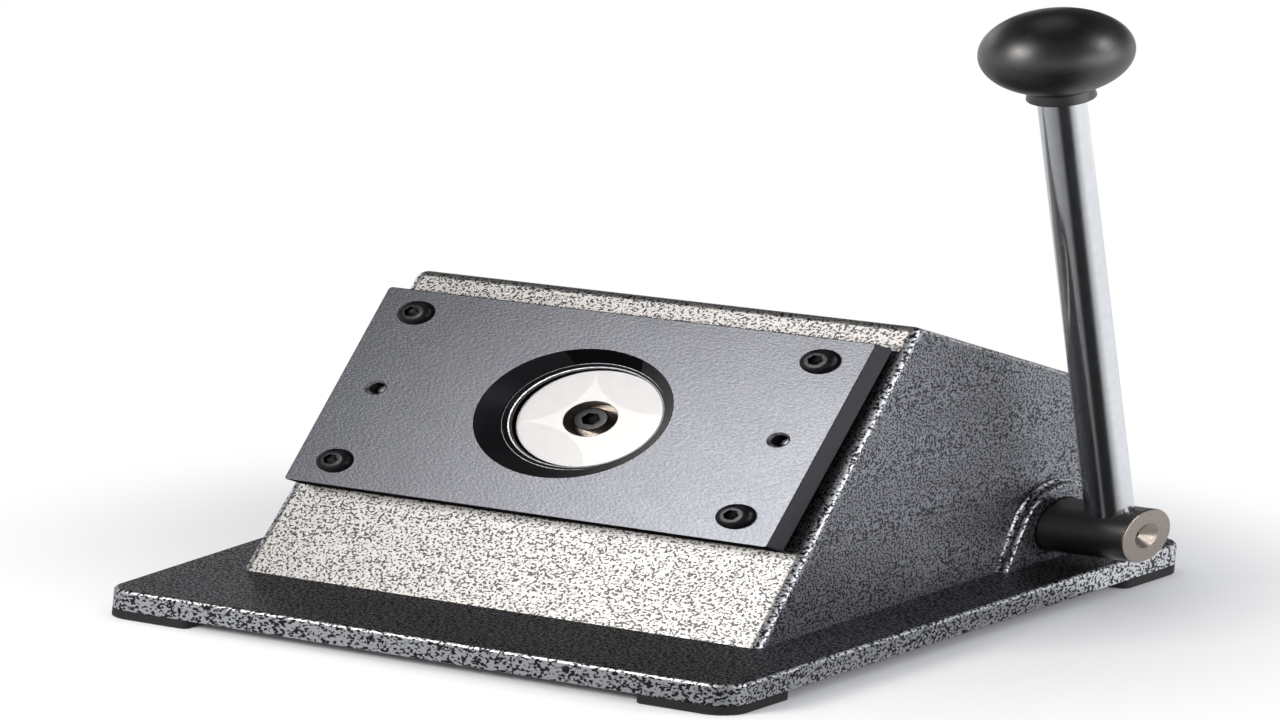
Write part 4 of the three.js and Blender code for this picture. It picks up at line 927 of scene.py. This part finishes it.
def makeFoot(name, signs):
    # A square pad whose outer corner follows the base
    low = -foot["height"]
    section = rounded([[foot["rim"], low], [0, low], [0, 0]], [0, foot["edge"], 0], 5)[1:]
    rows = slab(foot["side"], foot["side"], foot["radii"], section, 8)
    spot = moved(asMade, *middleOf(f"foot_{name}")[:2])
    pad = pieceOf(f"footPad_{name}", rows * np.array([*signs, 1.0]), spot)
    cutters = [drill(foot["recess"], low - 1, low + foot["recessDepth"], spot), drill(foot["hole"], low - 1, 1, spot)]
    return smoothed(carve(pad, cutters))


underScrews = {
    "foot_screw": {"radius": 3.6, "height": 2, "shank": 2, "socket": 3, "depth": 1, "slot": "zinc_steel"},
    "body_screw": {"radius": 5, "height": 6, "shank": 3, "socket": 5, "depth": 3, "slot": "black_oxide_steel"},
}
for name, signs in cornerSigns.items():
    dress(makeFoot(name, signs), "frame", "black_rubber", f"foot_{name}")
    for kind, size in underScrews.items():
        low, high = nodeBox(f"{kind}_{name}")
        x, y = middleOf(f"{kind}_{name}")[:2]
        seat = low[2] + size["height"]
        cap = cylinderHead(size["radius"], size["height"], 0.3)
        screw = socketScrew(
            f"{kind.split('_')[0]}Screw_{name}", cap, {**size, "length": high[2] - seat},
            flipped(moved(asMade, x, y, seat)), 32,
        )
        dress(screw, "frame", size["slot"], f"{kind}_{name}")
print("feet and base screws made")

# Carried-over nodes keep their shape and get their finish. The guide plate takes the near black of the plate's
# underside, painted shade for the gap under the plate.
for row in frame["record"]["subparts"]:
    slots = frame["nodes"][row["node"]].data.materials
    slots.clear()
    slots.append(shadedUnderRim if row["node"] == "guide_plate" else finishes[row["material_slot"]])
print("carried-over nodes finished")


# Floor, world and lights
def whiteForEyes(tree):
    # 1 for the rays that see the background: straight from the camera, or by way of metal or glass
    path = addNode(tree, "ShaderNodeLightPath").outputs
    first = compute(tree, "MAXIMUM", path["Is Camera Ray"], path["Is Glossy Ray"])
    return compute(tree, "MAXIMUM", first, path["Is Transmission Ray"])


white = (1.0, 1.0, 1.0, 1.0)
studio = {"floorRadius": 40.0, "shadowReach": 0.125, "fadeEnd": 0.21}
world = bpy.data.worlds.new("studioWorld")
bpy.context.scene.world = world
world.use_nodes = True
tree = world.node_tree
tree.nodes.clear()
backdrop = addNode(tree, "ShaderNodeBackground", {
    "Color": blend(tree, whiteForEyes(tree), shade("#c4c5c8"), white), "Strength": 1.0,
})
addNode(tree, "ShaderNodeOutputWorld", {"Surface": backdrop.outputs[0]})


def makeFloor():
    # A wide disc that keeps the object's shadow, and fades to white a little way round it
    profile = np.array([[pole, 0.0], [studio["floorRadius"] * metre, 0.0]])
    floor = pieceOf("studioFloor", turned(profile, 96), moved(asMade, 0, 0, floorHeight), False)
    material, tree, place = newMaterial("paperSweep")
    away = computeVector(tree, "LENGTH", "Value", place)
    share = compute(tree, "MULTIPLY", ramp(tree, away, studio["shadowReach"], studio["fadeEnd"]), whiteForEyes(tree))
    paper = addNode(tree, "ShaderNodeBsdfDiffuse", {"Color": shade("#f6f6f6")}).outputs[0]
    glow = addNode(tree, "ShaderNodeEmission", {"Color": white, "Strength": 1.0}).outputs[0]
    mix = addNode(tree, "ShaderNodeMixShader", {0: share, 1: paper, 2: glow}).outputs[0]
    addNode(tree, "ShaderNodeOutputMaterial", {"Surface": mix})
    floor.data.materials.append(material)


makeFloor()


def facing(place, target):
    # A matrix at the place whose -Z looks at the target
    place, target = np.array(place, float), np.array(target, float)
    back = (place - target) / np.linalg.norm(place - target)
    right = np.cross((0, 0, 1), back)
    right /= np.linalg.norm(right)
    matrix = np.eye(4)
    matrix[:3, 0], matrix[:3, 1], matrix[:3, 2], matrix[:3, 3] = right, np.cross(back, right), back, place
    return Matrix(matrix.tolist())


# Softboxes: level is the radiance of the face, where a white card in plain light is 1, and places are in metres
lamps = {
    "keyBox": {"place": (-0.15, -0.49, 0.352), "target": (0, 0, 0.09), "size": (0.22, 0.22), "level": 16.0,
               "colour": (1.0, 0.965, 0.93)},
    "sideBox": {"place": (0.774, 0.255, 0.469), "target": (0.096, 0.022, 0.25), "size": (0.20, 0.28), "level": 10.0,
                "colour": (0.95, 0.97, 1.0)},
    "topBox": {"place": (-0.10, 0.10, 1.2), "target": (0, 0, 0.1), "size": (0.7, 0.7), "level": 0.6,
               "colour": (0.97, 0.98, 1.0)},
}
for name, lamp in lamps.items():
    width, height = lamp["size"]
    light = bpy.data.lights.new(name, "AREA")
    light.shape, light.size, light.size_y = "RECTANGLE", width, height
    light.energy = lamp["level"] * math.pi * width * height
    light.color = lamp["colour"]
    objectOf(name, light).matrix_world = facing(lamp["place"], lamp["target"])


def shine(piece, material, tree, colour, strength):
    # Makes a piece a card that glows, and that only polished and satin surfaces see
    glow = addNode(tree, "ShaderNodeEmission", {"Color": colour, "Strength": strength})
    addNode(tree, "ShaderNodeOutputMaterial", {"Surface": glow.outputs[0]})
    piece.data.materials.append(material)
    piece.visible_camera = piece.visible_diffuse = piece.visible_shadow = piece.visible_transmission = False


# The dark room over the table, from just above the horizon up, and darker overhead
hood = {
    "radius": 3.0, "lowest": math.radians(2), "highest": math.pi / 2 - 0.001,
    "level": 0.16, "overhead": 0.03, "fadeFrom": 1.6, "fadeTo": 2.5,
}


def makeHood():
    angle = np.linspace(hood["lowest"], hood["highest"], 16)
    profile = np.column_stack([hood["radius"] * np.cos(angle), hood["radius"] * np.sin(angle)]) * metre
    piece = pieceOf("darkHood", turned(profile, 48), asMade, False)
    material, tree, place = newMaterial("darkRoom")
    height = addNode(tree, "ShaderNodeSeparateXYZ", {"Vector": place}).outputs["Z"]
    level = ramp(tree, height, hood["fadeFrom"], hood["fadeTo"], hood["level"], hood["overhead"])
    shine(piece, material, tree, (0.93, 0.96, 1.0, 1.0), level)


makeHood()

# A card on the table that is graded round the lever's foot: black towards the camera, grey to its left and
# white behind, so that the chromed rod gets its dark stripe and grey flank
graded = {
    "radius": 0.6, "lift": 1.0, "towardsCamera": math.radians(-53),
    "steps": [(0.0, 0.70), (0.18, 0.60), (0.30, 0.40), (0.405, 0.24), (0.44, 0.02), (0.565, 0.02), (0.60, 0.45),
              (0.68, 0.95), (0.85, 0.95), (1.0, 0.70)],
    "darkWithin": 0.04, "fullBeyond": 0.16, "least": 0.75,
}


def makeGraded():
    foot = (leverX, shaftAxis[1], floorHeight + graded["lift"])
    profile = np.array([[pole, 0.0], [graded["radius"] * metre, 0.0]])
    piece = pieceOf("gradedCard", turned(profile, 64), moved(asMade, *foot), False)
    material, tree, place = newMaterial("gradedPaper")
    # the gradient runs once round from the direction behind the lever, so the camera's side is at its middle
    turn = mapped(tree, place, Location=(-foot[0] / metre, -foot[1] / metre, 0.0))
    turn = mapped(tree, turn, Rotation=(0, 0, -graded["towardsCamera"]))
    away = computeVector(tree, "LENGTH", "Value", turn)
    near = ramp(tree, away, graded["darkWithin"], graded["fullBeyond"], graded["least"], 1.0)
    angle = addNode(tree, "ShaderNodeTexGradient", {"Vector": turn}, gradient_type="RADIAL").outputs["Fac"]
    levels = addNode(tree, "ShaderNodeValToRGB", {"Fac": angle})
    stops = levels.color_ramp.elements
    for number, (share, level) in enumerate(graded["steps"]):
        stop = stops[number] if number < len(stops) else stops.new(share)
        stop.position = share
        stop.color = (0.95 * level, 0.97 * level, level, 1.0)
    shine(piece, material, tree, levels.outputs["Color"], near)


makeGraded()

# White cards round the table: behind on the left for the base's open top, and low on the left and right, which
# the casting passes on to the chromed rod
cards = {
    "backCard": {"place": (-0.58, 0.92, 0.42), "target": (-0.08, -0.02, 0.01), "size": (0.34, 0.30), "level": 1.0},
    "leftCard": {"place": (-1.00, 0.28, 0.36), "target": (0.10, 0.02, 0.10), "size": (0.80, 0.34), "level": 1.8},
    "rightCard": {"place": (0.90, 0.16, 0.12), "target": (0.10, 0.05, 0.06), "size": (0.90, 0.22), "level": 4.0},
}
for name, card in cards.items():
    signs = np.array([[-1, -1], [1, -1], [1, 1], [-1, 1]])
    flat = np.column_stack([signs * np.array(card["size"]) / 2, np.zeros(4), np.ones(4)])
    points = flat @ np.array(facing(card["place"], card["target"])).T
    mesh = bpy.data.meshes.new(name)
    mesh.from_pydata(points[:, :3], [], [[0, 1, 2, 3]])
    material, tree, place = newMaterial(f"{name}Paper")
    shine(objectOf(name, mesh), material, tree, white, card["level"])
print("studio made")

# Camera. The picture is a square one stretched to 16:9, so the camera's axes lean by the same stretch: a point's
# place along each axis, over its depth, gives its pixel. The Empty carries the lean for the camera.
view = {
    "right": (0.023798, 0.957345, -0.287964),
    "up": (0.053422, -0.186240, 0.981051),
    "back": (0.480917, -0.809171, 0.337582),
    "place": (2.487823, -4.188968, 1.848564),
    "focalPixels": 10304.35, "shiftPixels": 3.853, "widthPixels": 1280, "sensor": 36.0,
}
cameraData = bpy.data.cameras.new("productCamera")
cameraData.sensor_width = view["sensor"]
cameraData.lens = view["focalPixels"] * view["sensor"] / view["widthPixels"]
cameraData.shift_y = view["shiftPixels"] / view["widthPixels"]
cameraData.clip_end = 100
camera = objectOf("productCamera", cameraData)
hold = objectOf("cameraHold", None)
lean = np.eye(4)
for axis, key in enumerate(("right", "up", "back", "place")):
    lean[:3, axis] = view[key]
camera.parent = hold
camera.matrix_parent_inverse = Matrix(lean.tolist())
camera.matrix_basis = Matrix.Identity(4)
bpy.context.scene.camera = camera
bpy.context.scene.view_settings.view_transform = "Standard"
